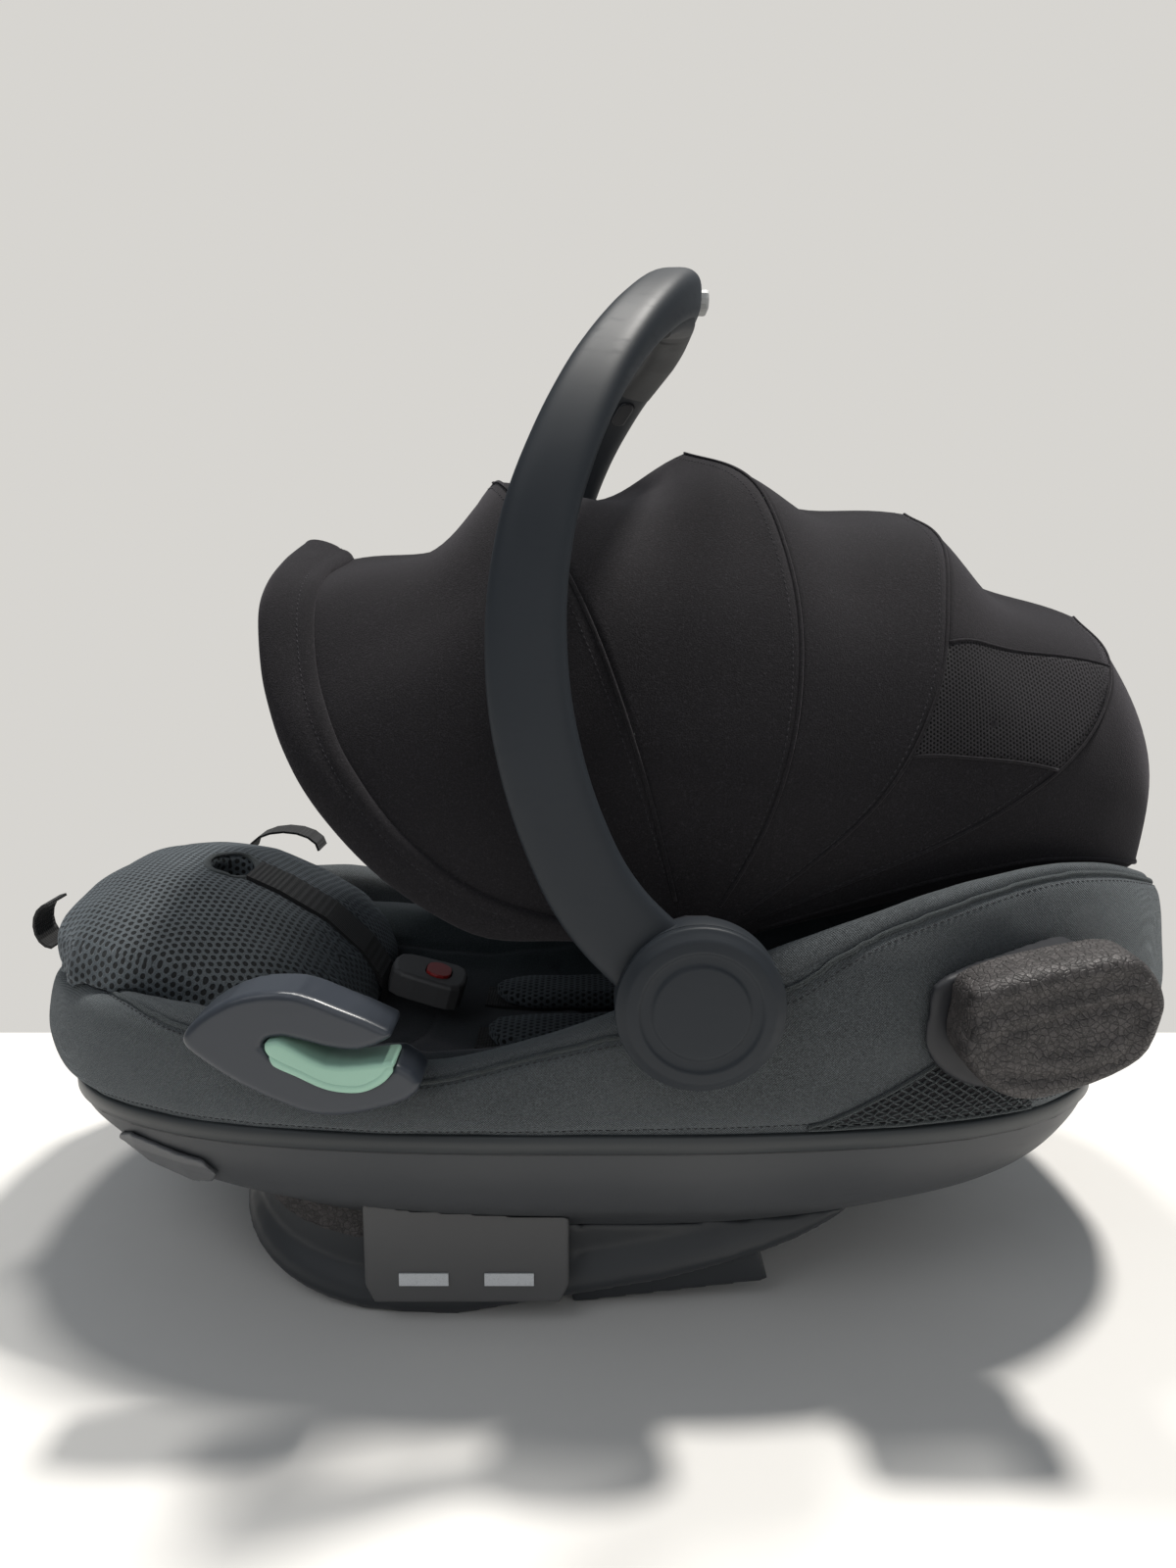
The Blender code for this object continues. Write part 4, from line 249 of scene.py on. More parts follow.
def plan_point(angle, inset=0.0, share_x=1.0, share_y=1.0):
    """Point of the seat's outline at this angle: shares shrink it, then inset moves it along its normal."""
    x = rounded_power(math.cos(angle), 2 / OUTLINE_POWER)
    y = rounded_power(math.sin(angle), 2 / OUTLINE_POWER)
    normal = Vector((
        rounded_power(x, OUTLINE_POWER - 1) / HALF_LENGTH,
        rounded_power(y, OUTLINE_POWER - 1) / HALF_WIDTH,
    )).normalized()
    return Vector((HALF_LENGTH * share_x * x, HALF_WIDTH * share_y * y)) - inset * normal


def long_share(angle):
    return rounded_power(math.cos(angle), 2 / OUTLINE_POWER)


def rim_z(angle):
    return RIM_HEIGHT * along(RIM_SHARES, long_share(angle))


def edge_z(angle):
    return EDGE_HEIGHT * along(EDGE_SHARES, long_share(angle))


def low_z(angle):
    return LOW_HEIGHT * along(LOW_SHARES, long_share(angle))


def edge_inset(angle):
    """How far the lower edge lies inside the widest outline: more at the head end, which curves under."""
    along_seat = math.cos(angle)
    if along_seat > 0:
        return EDGE_TUCK + HEAD_TUCK * along_seat**2
    return EDGE_TUCK + END_TUCK * abs(along_seat) ** 3


def on_plan(angle, inset, z, share_x=1.0, share_y=1.0):
    x, y = plan_point(angle, inset, share_x, share_y)
    return Vector((x, y, z))


def anticlockwise(points):
    area = sum(points[i - 1].x * p.y - p.x * points[i - 1].y for i, p in enumerate(points))
    return points if area > 0 else points[::-1]


def inset_loop(points, distance):
    """A closed outline in two coordinates, anticlockwise, drawn in by this distance."""
    count = len(points)
    result = []
    for i, point in enumerate(points):
        tangent = (points[(i + 1) % count] - points[i - 1]).normalized()
        result.append(point - distance * Vector((tangent.y, -tangent.x)))
    return result


def stadium(length, width):
    """Outline of a slot along the first axis, about the origin."""
    radius = width / 2
    reach = length / 2 - radius
    points = []
    for end, start in ((1, -math.pi / 2), (-1, math.pi / 2)):
        for i in range(13):
            turn = start + math.pi * i / 12
            points.append((end * reach + radius * math.cos(turn), radius * math.sin(turn)))
    return points


def bow_point(line, u):
    """Point of a canopy line at u, from the left pivot (-1) over the apex (0) to the right pivot (1)."""
    rows = BOW_SHARES[line]
    t = abs(u)
    y = math.copysign(1.0, u) * CANOPY_HALF_WIDTH * along(rows, t, 1)
    return math.radians(along(rows, t, 2)), CANOPY_RADIUS * along(rows, t, 3), y


def from_polar(turn, radius, y):
    return Vector((HUB_X + radius * math.cos(turn), y, HUB_Z + radius * math.sin(turn)))


def canopy_outward(turn, radius, y):
    """Outward direction of the canopy's rounded form."""
    return Vector((
        radius * math.cos(turn) / CANOPY_RADIUS**2,
        y / CANOPY_HALF_WIDTH**2,
        radius * math.sin(turn) / CANOPY_RADIUS**2,
    )).normalized()


def handle_point(t, side):
    """Centre of the handle's section at t, from the hub (0) to the middle of the grip (1)."""
    reach = HANDLE_TOP - HUB_Z - GRIP_THICKNESS / 2
    return Vector((
        HUB_X + reach * along(HANDLE_SHARES, t, 1),
        side * HANDLE_HALF_WIDTH * along(HANDLE_SHARES, t, 2),
        HUB_Z + reach * along(HANDLE_SHARES, t, 3),
    ))


def handle_frame(t, side):
    """Centre, tangent, fore-and-aft direction and outward direction of the handle's section at t."""
    step = 0.01
    centre = handle_point(t, side)
    if t + step > 1.0:
        tangent = Vector((0.0, -side, 0.0))
    else:
        tangent = (handle_point(t + step, side) - handle_point(t - step, side)).normalized()
    turn = along(HANDLE_SHARES, t, 2)
    outward = Vector((0.0, side * turn, max(1.0 - turn, 0.0) * 2))
    outward = (outward - outward.dot(tangent) * tangent).normalized()
    fore = tangent.cross(outward).normalized() * -side
    return centre, tangent, fore, outward


def handle_section(t, side, half_width, inner, outer, steps, power):
    """Rounded section between two distances along the outward direction."""
    centre, _, fore, outward = handle_frame(t, side)
    middle, half = (inner + outer) / 2, (outer - inner) / 2
    ring = []
    for j in range(steps):
        a = 2 * math.pi * (j + 0.5) / steps
        ring.append(
            centre
            + half_width * rounded_power(math.cos(a), 2 / power) * fore
            + (middle + half * rounded_power(math.sin(a), 2 / power)) * outward
        )
    return ring


def handle_sizes(t):
    return ARM_WIDTH * along(HANDLE_SHARES, t, 4) / 2, GRIP_THICKNESS * along(HANDLE_SHARES, t, 5) / 2


def swept_handle(ts, section):
    """Rows of sections from the left side over the middle of the grip, where t is 1, to the right side."""
    return [section(t, -1) for t in ts] + [section(t, 1) for t in ts[-2::-1]]


def in_frame(centre, first, second, outward):
    return lambda a, b, depth: centre + a * first + b * second + depth * outward


# Materials


class Finish:
    """A procedural material, with short calls for its nodes."""

    def __init__(self, name, colour, roughness, metallic=0.0):
        self.colour = colour
        self.material = bpy.data.materials.new(name)
        self.material.use_nodes = True
        self.material.diffuse_color = (*colour, 1.0)
        self.tree = self.material.node_tree
        self.shader = self.tree.nodes["Principled BSDF"]
        self.feed(self.shader.inputs["Base Color"], colour)
        self.feed(self.shader.inputs["Roughness"], roughness)
        self.feed(self.shader.inputs["Metallic"], metallic)
        self.place = self.node("TexCoord").outputs["Object"]
        self.facing = self.node("TexCoord").outputs["Normal"]

    def feed(self, socket, value):
        if isinstance(value, bpy.types.NodeSocket):
            self.tree.links.new(value, socket)
        elif isinstance(value, tuple) and len(socket.default_value) == 4:
            socket.default_value = (*value, 1.0)
        else:
            socket.default_value = value

    def node(self, kind, **values):
        """A new node with these inputs."""
        node = self.tree.nodes.new("ShaderNode" + kind)
        for key, value in values.items():
            self.feed(node.inputs[key], value)
        return node

    def maths(self, operation, *values):
        node = self.node("Math")
        node.operation = operation
        for socket, value in zip(node.inputs, values):
            self.feed(socket, value)
        return node.outputs[0]

    def scaled(self, *scale):
        """The place, stretched by this scale along each axis."""
        return self.node("Mapping", Vector=self.place, Scale=scale).outputs[0]

    def parts(self, vector):
        return self.node("SeparateXYZ", Vector=vector).outputs

    def noise(self, scale, detail=2.0, roughness=0.5, vector=None):
        place = vector or self.place
        return self.node("TexNoise", Scale=scale, Detail=detail, Roughness=roughness, Vector=place).outputs["Fac"]

    def cells(self, scale, feature="F1", output="Distance"):
        node = self.node("TexVoronoi", Scale=scale, Vector=self.place)
        node.feature = feature
        return node.outputs[output]

    def shares(self, value, low, high, to_low=0.0, to_high=1.0):
        """A smooth step: to_low where the value is low, to_high where it is high."""
        node = self.node("MapRange")
        node.interpolation_type = "SMOOTHSTEP"
        for socket, number in zip(node.inputs, (value, low, high, to_low, to_high)):
            self.feed(socket, number)
        return node.outputs[0]

    def blend(self, factor, first, second):
        node = self.node("Mix")
        node.data_type = "RGBA"
        self.feed(node.inputs[0], factor)
        self.feed(node.inputs[6], first)
        self.feed(node.inputs[7], second)
        return node.outputs[2]

    def tone(self, first, second, *step):
        """From the first tone to the second by a smooth step; a number means that share of the look's colour."""
        first, second = (darker(self.colour, c) if isinstance(c, float) else c for c in (first, second))
        return self.blend(self.shares(*step), first, second)

    def bump(self, height, distance):
        return self.node("Bump", Strength=1.0, Distance=distance, Height=height).outputs[0]

    def done(self, colour, roughness, normal=None, sheen=0.0, tint=(1.0, 1.0, 1.0), shine=0.5):
        self.feed(self.shader.inputs["Base Color"], colour)
        self.feed(self.shader.inputs["Roughness"], roughness)
        if normal is not None:
            self.feed(self.shader.inputs["Normal"], normal)
        self.shader.inputs["Specular IOR Level"].default_value = shine
        if sheen:
            self.shader.inputs["Sheen Weight"].default_value = sheen
            self.shader.inputs["Sheen Roughness"].default_value = 0.45
            self.shader.inputs["Sheen Tint"].default_value = (*tint, 1.0)
        return self.material

    def by_facing(self, pattern):
        """A flat pattern, laid on the surface from the side that it faces most."""
        x, y, z = self.parts(self.place)
        nx, ny, nz = self.parts(self.facing)
        total, weights = None, None
        for normal, first, second in ((nx, y, z), (ny, x, z), (nz, x, y)):
            weight = self.maths("POWER", self.maths("ABSOLUTE", normal), 6.0)
            part = self.maths("MULTIPLY", weight, pattern(first, second))
            total = part if total is None else self.maths("ADD", total, part)
            weights = weight if weights is None else self.maths("ADD", weights, weight)
        return self.maths("DIVIDE", total, weights)

    def wave(self, value, pitch):
        return self.maths("SINE", self.maths("MULTIPLY_ADD", value, 2 * math.pi / pitch, 0.0))


def darker(colour, share):
    """The colour times a share, which may be over 1 for a lighter one."""
    return tuple(c * share for c in colour)


def woven(name, colour, pitch):
    """Plain weave of heathered yarn."""
    f = Finish(name, colour, 0.9)
    weave = f.by_facing(lambda a, b: f.maths("MULTIPLY", f.wave(a, pitch), f.wave(b, pitch)))
    yarn = f.noise(1.0, 2.0, 0.6, f.scaled(2400.0, 2400.0, 800.0))
    cross = f.noise(1.0, 2.0, 0.6, f.scaled(700.0, 2400.0, 2400.0))
    heather = f.maths("MULTIPLY", f.maths("ADD", yarn, cross), 0.5)
    tone = f.tone(0.5, 1.7, heather, 0.38, 0.64)
    tone = f.tone(tone, 0.25, weave, -0.9, 0.1, 0.55, 0.0)
    tone = f.tone(tone, 1.5, f.noise(9.0), 0.35, 0.7, 0.0, 0.22)
    relief = f.maths("MULTIPLY_ADD", heather, 0.5, weave)
    return f.done(tone, f.shares(heather, 0.3, 0.7, 0.95, 0.8), f.bump(relief, 0.00025), 0.25, (0.75, 0.85, 0.9))


def knitted(name, colour, pitch, speck, sheen):
    """Fine heathered stretch knit."""
    f = Finish(name, colour, 0.92)
    loops = f.cells(1.0 / pitch)
    fine = f.noise(1600.0, 2.0, 0.7)
    tone = f.tone(0.55, 1.35, fine, 0.35, 0.65)
    tone = f.tone(tone, speck, f.noise(700.0, 3.0, 0.75), 0.54, 0.70, 0.0, 0.8)
    tone = f.tone(tone, 1.6, f.noise(7.0, 3.0), 0.35, 0.7, 0.0, 0.25)
    relief = f.maths("MULTIPLY_ADD", fine, 0.8, f.maths("MULTIPLY", loops, 0.8))
    return f.done(tone, 0.95, f.bump(relief, 0.00016), sheen, (0.9, 0.85, 0.95), 0.16)


def spacer_mesh(name, colour, pitch, depth=0.0009, sheen=0.2, tint=(0.75, 0.85, 0.95), shine=0.5):
    """Open spacer mesh: a net of rounded holes in rows, over a dark layer, with painted shade in the holes."""
    f = Finish(name, colour, 0.85)

    def holes(a, b):
        first = f.maths("COSINE", f.maths("MULTIPLY", a, 4 * math.pi / (math.sqrt(3) * pitch)))
        turned = f.maths("MULTIPLY", a, 2 * math.pi / (math.sqrt(3) * pitch))
        crossed = f.maths("MULTIPLY", b, 2 * math.pi / pitch)
        second = f.maths("COSINE", f.maths("ADD", turned, crossed))
        third = f.maths("COSINE", f.maths("SUBTRACT", turned, crossed))
        return f.maths("ADD", f.maths("ADD", first, second), third)

    strand = f.shares(f.by_facing(holes), -0.35, 0.75, 1.0, 0.0)
    thread = f.noise(1800.0, 2.0, 0.7)
    lit = f.tone(0.8, 2.3, thread, 0.3, 0.7)
    lit = f.tone(lit, 2.6, f.noise(14.0, 1.0), 0.35, 0.65, 0.0, 0.3)
    # Holes near-black: the dark layer below plus painted shade inside each hole.
    tone = f.blend(strand, darker(colour, 0.10), lit)
    relief = f.maths("MULTIPLY_ADD", thread, 0.15, strand)
    return f.done(tone, f.shares(strand, 0.0, 1.0, 0.98, 0.75), f.bump(relief, depth), sheen, tint, shine)


def webbed(name, colour):
    """Ribbed woven webbing."""
    f = Finish(name, colour, 0.7)
    x, y, z = f.parts(f.place)
    weave = f.maths("MULTIPLY_ADD", f.wave(y, 0.0022), 0.5, f.wave(f.maths("ADD", x, z), 0.0016))
    fuzz = f.noise(1500.0)
    tone = f.tone(0.5, 1.3, weave, -1.0, 1.0)
    tone = f.tone(tone, 2.0, fuzz, 0.45, 0.7, 0.0, 0.4)
    return f.done(tone, f.shares(fuzz, 0.3, 0.7, 0.80, 0.62), f.bump(weave, 0.0002), 0.05)


def moulded(name, colour, roughness, grain=0.00002, scale=2200.0, wear=1.35, shine=0.5):
    """Moulded plastic with a fine grain, slight clouding, and edges rubbed a little paler."""
    f = Finish(name, colour, roughness)
    fine = f.noise(scale, 2.0, 0.6)
    clouds = f.noise(11.0, 3.0, 0.55)
    marks = f.noise(1.0, 4.0, 0.65, f.scaled(60.0, 30.0, 260.0))
    sharp = f.node("NewGeometry").outputs["Pointiness"]
    tone = f.tone(1.0, 1.22, clouds, 0.35, 0.7, 0.0, 0.35)
    tone = f.tone(tone, 1.4, fine, 0.55, 0.75, 0.0, 0.25)
    tone = f.tone(tone, wear, sharp, 0.53, 0.60, 0.0, 0.5)
    scuffed = f.maths("MULTIPLY_ADD", f.shares(marks, 0.5, 0.75), 0.07, roughness - 0.02)
    rough = f.maths("MULTIPLY_ADD", f.shares(clouds, 0.3, 0.7), 0.06, scuffed)
    return f.done(tone, rough, f.bump(fine, grain), shine=shine)


def bead_foam(name, colour):
    """Moulded bead foam: pressed cells with a speckled, slightly glossy skin."""
    f = Finish(name, colour, 0.6)
    beads = f.cells(330.0, "DISTANCE_TO_EDGE")
    shade = f.parts(f.cells(330.0, output="Color"))[0]
    sand = f.noise(1500.0, 3.0, 0.8)
    tone = f.tone(0.65, 1.35, shade, 0.1, 0.9)
    tone = f.tone(tone, 3.0, sand, 0.50, 0.72, 0.0, 0.9)
    tone = f.tone(tone, 0.3, beads, 0.0, 0.09, 0.75, 0.0)
    relief = f.maths("MULTIPLY_ADD", sand, 0.5, f.shares(beads, 0.0, 0.16))
    return f.done(tone, f.shares(sand, 0.3, 0.7, 0.75, 0.42), f.bump(relief, 0.00030))


def reflective(name, colour):
    """Pale film with a fine honeycomb."""
    f = Finish(name, colour, 0.3)
    comb = f.cells(900.0, "DISTANCE_TO_EDGE")
    dust = f.noise(400.0, 3.0, 0.7)
    tone = f.tone(1.0, 0.55, comb, 0.0, 0.08, 0.35, 0.0)
    tone = f.tone(tone, 0.8, dust, 0.5, 0.75, 0.0, 0.3)
    return f.done(tone, f.shares(dust, 0.3, 0.7, 0.25, 0.45), f.bump(comb, 0.00008))


def turned_steel(name, colour):
    """Steel with fine rings from turning."""
    f = Finish(name, colour, 0.3, 1.0)
    rings = f.noise(1.0, 3.0, 0.6, f.scaled(300.0, 2500.0, 300.0))
    return f.done(f.tone(0.8, 1.0, rings, 0.35, 0.65), f.shares(rings, 0.3, 0.7, 0.22, 0.40), f.bump(rings, 0.00003))


LOOKS = {
    "cover_fabric": woven("cover_weave", (0.059, 0.066, 0.071), 0.0013),
    "lining_fabric": knitted("lining_knit", (0.024, 0.031, 0.034), 0.0011, 1.8, 0.2),
    "mesh_fabric": spacer_mesh("spacer_mesh", (0.034, 0.041, 0.046), 0.0046),
    "canopy_fabric": knitted("canopy_knit", (0.0125, 0.0117, 0.0132), 0.0009, 2.4, 0.09),
    "handle_plastic": moulded("handle_satin", (0.0170, 0.0210, 0.0265), 0.50, shine=0.30),
    "shell_plastic": moulded("shell_satin", (0.046, 0.049, 0.054), 0.46),
    "dark_plastic": moulded("black_satin", (0.014, 0.015, 0.019), 0.46),
    "guide_plastic": moulded("guide_satin", (0.034, 0.040, 0.051), 0.30, 0.000012, 2600.0),
    "mint_plastic": moulded("mint_satin", (0.330, 0.545, 0.430), 0.42, 0.000012, 2600.0, 1.15),
    "grey_plastic": moulded("grey_satin", (0.080, 0.080, 0.082), 0.50),
    "pale_plastic": moulded("pale_satin", (0.400, 0.410, 0.410), 0.40, wear=1.1),
    "foam": bead_foam("bead_foam", (0.040, 0.036, 0.036)),
    "webbing": webbed("webbing", (0.010, 0.010, 0.011)),
    "red_plastic": moulded("red_satin", (0.300, 0.016, 0.016), 0.38),
    "reflector": reflective("reflective_film", (0.600, 0.620, 0.640)),
    "steel": turned_steel("turned_steel", (0.550, 0.550, 0.560)),
}
THREAD = knitted("thread", (0.020, 0.020, 0.022), 0.0006, 2.0, 0.2)
PIPING = woven("piping_weave", (0.036, 0.042, 0.044), 0.0011)
LEVER_LOOK = moulded("lever_satin", (0.105, 0.108, 0.114), 0.45)
EDGE_LOOK = moulded("edge_satin", (0.026, 0.030, 0.033), 0.40)
BASE_LOOK = moulded("base_satin", (0.024, 0.027, 0.031), 0.42)
GRIP_LOOK = moulded("grip_satin", (0.034, 0.035, 0.037), 0.58, 0.00008, 1500.0)
VENT = spacer_mesh("vent_mesh", (0.014, 0.0133, 0.0148), 0.0022, 0.0003, 0.06, (0.9, 0.85, 0.95), 0.18)
SLOT_OF = {row["node"]: row["material_slot"] for row in frame["record"]["subparts"]}

for node_name, node in NODES.items():
    node.data.materials.clear()
    node.data.materials.append(LOOKS[SLOT_OF[node_name]])


# Making pieces


def linked(name, data):
    """A new object with this data, in the scene."""
    obj = bpy.data.objects.new(name, data)
    bpy.context.scene.collection.objects.link(obj)
    return obj


def new_piece(name, mesh, slot, body, replaced=(), look=None):
    """A visible piece in its slot's look or its own, on a body when one is given, in place of CAD nodes."""
    piece = linked(name, mesh)
    mesh.materials.clear()
    mesh.materials.append(look or LOOKS[slot])
    mesh.shade_smooth()
    if body is not None:
        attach(piece, body)
    if replaced:
        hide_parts(*replaced)
    return piece


def mesh_of(name, points, faces):
    mesh = bpy.data.meshes.new(name)
    mesh.from_pydata([tuple(p) for p in points], [], faces)
    mesh.update()
    return mesh


def grid_mesh(name, rows, close_rows=False, close_columns=False, cap_start=False, cap_end=False):
    """Quads between rows of points, with ends closed by one face where asked."""
    count, width = len(rows), len(rows[0])
    points = [p for row in rows for p in row]
    faces = []
    for i in range(count if close_rows else count - 1):
        k = (i + 1) % count
        for j in range(width if close_columns else width - 1):
            m = (j + 1) % width
            faces.append((i * width + j, i * width + m, k * width + m, k * width + j))
    if cap_start:
        faces.append(tuple(range(width))[::-1])
    if cap_end:
        faces.append(tuple((count - 1) * width + j for j in range(width)))
    mesh = mesh_of(name, points, faces)
    bm = bmesh.new()
    bm.from_mesh(mesh)
    bmesh.ops.recalc_face_normals(bm, faces=bm.faces)
    bm.to_mesh(mesh)
    bm.free()
    return mesh


def ring_mesh(name, rings, closed=False):
    """Skin round a row of rings, closed into a hoop or with a face over each end."""
    return grid_mesh(name, rings, close_rows=closed, close_columns=True, cap_start=not closed, cap_end=not closed)


def circle(steps):
    return [2 * math.pi * j / steps for j in range(steps)]


def tube_mesh(name, points, radius, sides=8, closed=False, flat=1.0, up=None):
    """A tube round a path; flat squashes it along the up directions."""
    rings = []
    count = len(points)
    for i, point in enumerate(points):
        ahead = points[(i + 1) % count] if closed else points[min(i + 1, count - 1)]
        behind = points[i - 1] if closed or i else points[0]
        tangent = (ahead - behind).normalized()
        rise = up[i] if up else Vector((0.0, 0.0, 1.0))
        side = tangent.cross(rise)
        if side.length < 1e-6:
            side = tangent.cross(Vector((1.0, 0.0, 0.0)))
        side.normalize()
        rise = side.cross(tangent).normalized()
        r = radius[i] if isinstance(radius, list) else radius
        rings.append([point + r * (math.cos(a) * side + flat * math.sin(a) * rise) for a in circle(sides)])
    return ring_mesh(name, rings, closed)


def joined(name, meshes):
    """One mesh of several."""
    bm = bmesh.new()
    for mesh in meshes:
        bm.from_mesh(mesh)
        bpy.data.meshes.remove(mesh)
    mesh = bpy.data.meshes.new(name)
    bm.to_mesh(mesh)
    bm.free()
    return mesh


def modify(obj, kind, **settings):
    """Gives the object a modifier with these settings."""
    modifier = obj.modifiers.new(kind.lower(), kind)
    for key, value in settings.items():
        setattr(modifier, key, value)


def baked(obj, name):
    """The object's mesh with its modifiers applied, as a new mesh; the object itself goes."""
    bpy.context.view_layer.update()
    graph = bpy.context.evaluated_depsgraph_get()
    mesh = bpy.data.meshes.new_from_object(obj.evaluated_get(graph), depsgraph=graph)
    mesh.name = name
    bpy.data.objects.remove(obj)
    return mesh


def rounded_copy(node_name, voxel, smooth, levels):
    """A finer, softer copy of a CAD node's mesh: remeshed, smoothed and subdivided."""
    obj = linked("scratch", NODES[node_name].data.copy())
    modify(obj, "REMESH", mode="VOXEL", voxel_size=voxel)
    modify(obj, "SMOOTH", iterations=smooth, factor=0.5)
    if levels:
        modify(obj, "SUBSURF", levels=levels, render_levels=levels)
    return baked(obj, node_name + "_mesh")


def carved(mesh, name, cutter_meshes):
    """The mesh with each cutter taken away."""
    obj = linked("scratch", mesh)
    cutters = [linked("scratch", cutter) for cutter in cutter_meshes]
    for cutter in cutters:
        modify(obj, "BOOLEAN", operation="DIFFERENCE", solver="EXACT", object=cutter)
    result = baked(obj, name)
    for cutter in cutters:
        bpy.data.objects.remove(cutter)
    return result


def vertex_values(mesh, key):
    values = np.zeros(len(mesh.vertices) * 3)
    mesh.vertices.foreach_get(key, values)
    return values.reshape(-1, 3)


def coordinates(mesh):
    return vertex_values(mesh, "co")


def normals(mesh):
    return vertex_values(mesh, "normal")


def set_coordinates(mesh, values):
    mesh.vertices.foreach_set("co", np.asarray(values, float).ravel())
    mesh.update()


def shifted(mesh, amounts):
    """Moves each vertex out along its normal by its own amount."""
    set_coordinates(mesh, coordinates(mesh) + normals(mesh) * amounts[:, None])


def wrinkled(mesh, size, depth, seed, stretch=(1.0, 1.0, 1.0)):
    """Moves the surface in and out by smooth noise."""
    scale = np.array(stretch) / size
    place = coordinates(mesh)
    shifted(mesh, depth * np.array([noise.noise(Vector(p * scale) + Vector((seed, seed, seed))) for p in place]))


CLOTH = {
    "quality": 5, "mass": 0.3, "tension_stiffness": 20.0, "compression_stiffness": 15.0, "bending_stiffness": 2.0,
    "use_pressure": True,
}


def puffed(mesh, name, pressure, cap, frames=20, shrink=0.0015):
    """Cloth under pressure, whose movement is capped: the swelling of a padded piece."""
    set_coordinates(mesh, coordinates(mesh) - normals(mesh) * shrink)
    rest = coordinates(mesh)
    obj = linked("scratch", mesh)
    cloth = obj.modifiers.new("swell", "CLOTH")
    for key, value in CLOTH.items():
        setattr(cloth.settings, key, value)
    cloth.settings.uniform_pressure_force = pressure
    cloth.settings.effector_weights.gravity = 0.0
    cloth.point_cache.frame_start = 1
    cloth.point_cache.frame_end = frames
    scene = bpy.context.scene
    for step in range(1, frames + 1):
        scene.frame_set(step)
    result = baked(obj, name)
    scene.frame_set(1)
    moved = coordinates(result) - rest
    length = np.linalg.norm(moved, axis=1, keepdims=True)
    set_coordinates(result, rest + moved * np.minimum(1.0, cap / np.maximum(length, 1e-9)))
    return result


def cushion(node_name, voxel, smooth, name, *swelling):
    """A swollen, subdivided copy of a padded CAD node."""
    obj = linked("scratch", puffed(rounded_copy(node_name, voxel, smooth, 0), name, *swelling))
    modify(obj, "SUBSURF", levels=1, render_levels=1)
    return baked(obj, name)


def surface_of(mesh):
    points = [v.co.copy() for v in mesh.vertices]
    return BVHTree.FromPolygons(points, [tuple(p.vertices) for p in mesh.polygons])


def pressed_along(mesh, path, width, depth):
    """Sinks a groove along a path into the surface."""
    place = coordinates(mesh)
    line = np.array([tuple(p) for p in path])
    near = np.full(len(place), 1e9)
    for start in range(0, len(place), 20000):
        block = place[start:start + 20000]
        distance = np.linalg.norm(block[:, None, :] - line[None, :, :], axis=2)
        near[start:start + 20000] = distance.min(axis=1)
    shifted(mesh, -depth * np.exp(-(near / width) ** 2))


def even_path(points, step):
    """Points at equal steps along a polyline."""
    line = [Vector(p) for p in points]
    lengths = [0.0]
    for a, b in zip(line, line[1:]):
        lengths.append(lengths[-1] + (b - a).length)
    count = max(2, round(lengths[-1] / step))
    result, index = [], 0
    for k in range(count + 1):
        target = lengths[-1] * k / count
        while index < len(line) - 2 and lengths[index + 1] < target:
            index += 1
        span = max(lengths[index + 1] - lengths[index], 1e-9)
        result.append(line[index].lerp(line[index + 1], (target - lengths[index]) / span))
    return result


STITCH_LENGTH = 0.0022
STITCH_PITCH = 0.0036
STITCH_RADIUS = 0.00028
STITCH_LIFT = 0.0001
STITCH_DIP = 0.0004


def stitch_row(name, path, tree):
    """Short stitches in a row along a path, lying on a surface, with their ends dipping into it."""
    meshes = []
    points = even_path(path, STITCH_PITCH)
    for a, b in zip(points, points[1:]):
        direction = b - a
        if direction.length < 1e-6:
            continue
        direction.normalize()
        found, normal, _, _ = tree.find_nearest((a + b) / 2)
        if found is None:
            continue
        spots = [
            found + direction * (s * STITCH_LENGTH / 2) + normal * (STITCH_LIFT - STITCH_DIP * abs(s) ** 3)
            for s in (-1.0, -0.5, 0.0, 0.5, 1.0)
        ]
        meshes.append(tube_mesh("stitch", spots, STITCH_RADIUS, 5))
    return joined(name, meshes)


# Seat cover, its seams and its nets

FINE_STATIONS = 352
SECTION_STEPS = 7
SIDES = (("left", -1), ("right", 1))
COVER_SMOOTH_INSET = 0.0007
HEM_AT = 0.42
WELT_SHARES = (
    (-1.0, 6.5), (-0.87, 6.1), (-0.76, 5.0), (-0.66, 4.1), (-0.45, 3.7), (-0.27, 3.85), (-0.14, 4.15), (-0.03, 4.0),
    (0.12, 3.6), (0.28, 3.65), (0.33, 4.0), (0.40, 4.3), (0.47, 4.45), (0.60, 4.7), (0.70, 4.85), (0.84, 4.9),
    (1.0, 5.0),
)
WELT_TO_STITCHES = 0.34
WELT_RADIUS = 0.0013
WELT_LIFT = 0.0006
HUB_HOLE_PLAY = 0.0006
HUB_CLEAR = 0.004
BINDING_OUT = 0.0032
BINDING_RADIUS = 0.0012
BINDING_LIFT = 0.0003


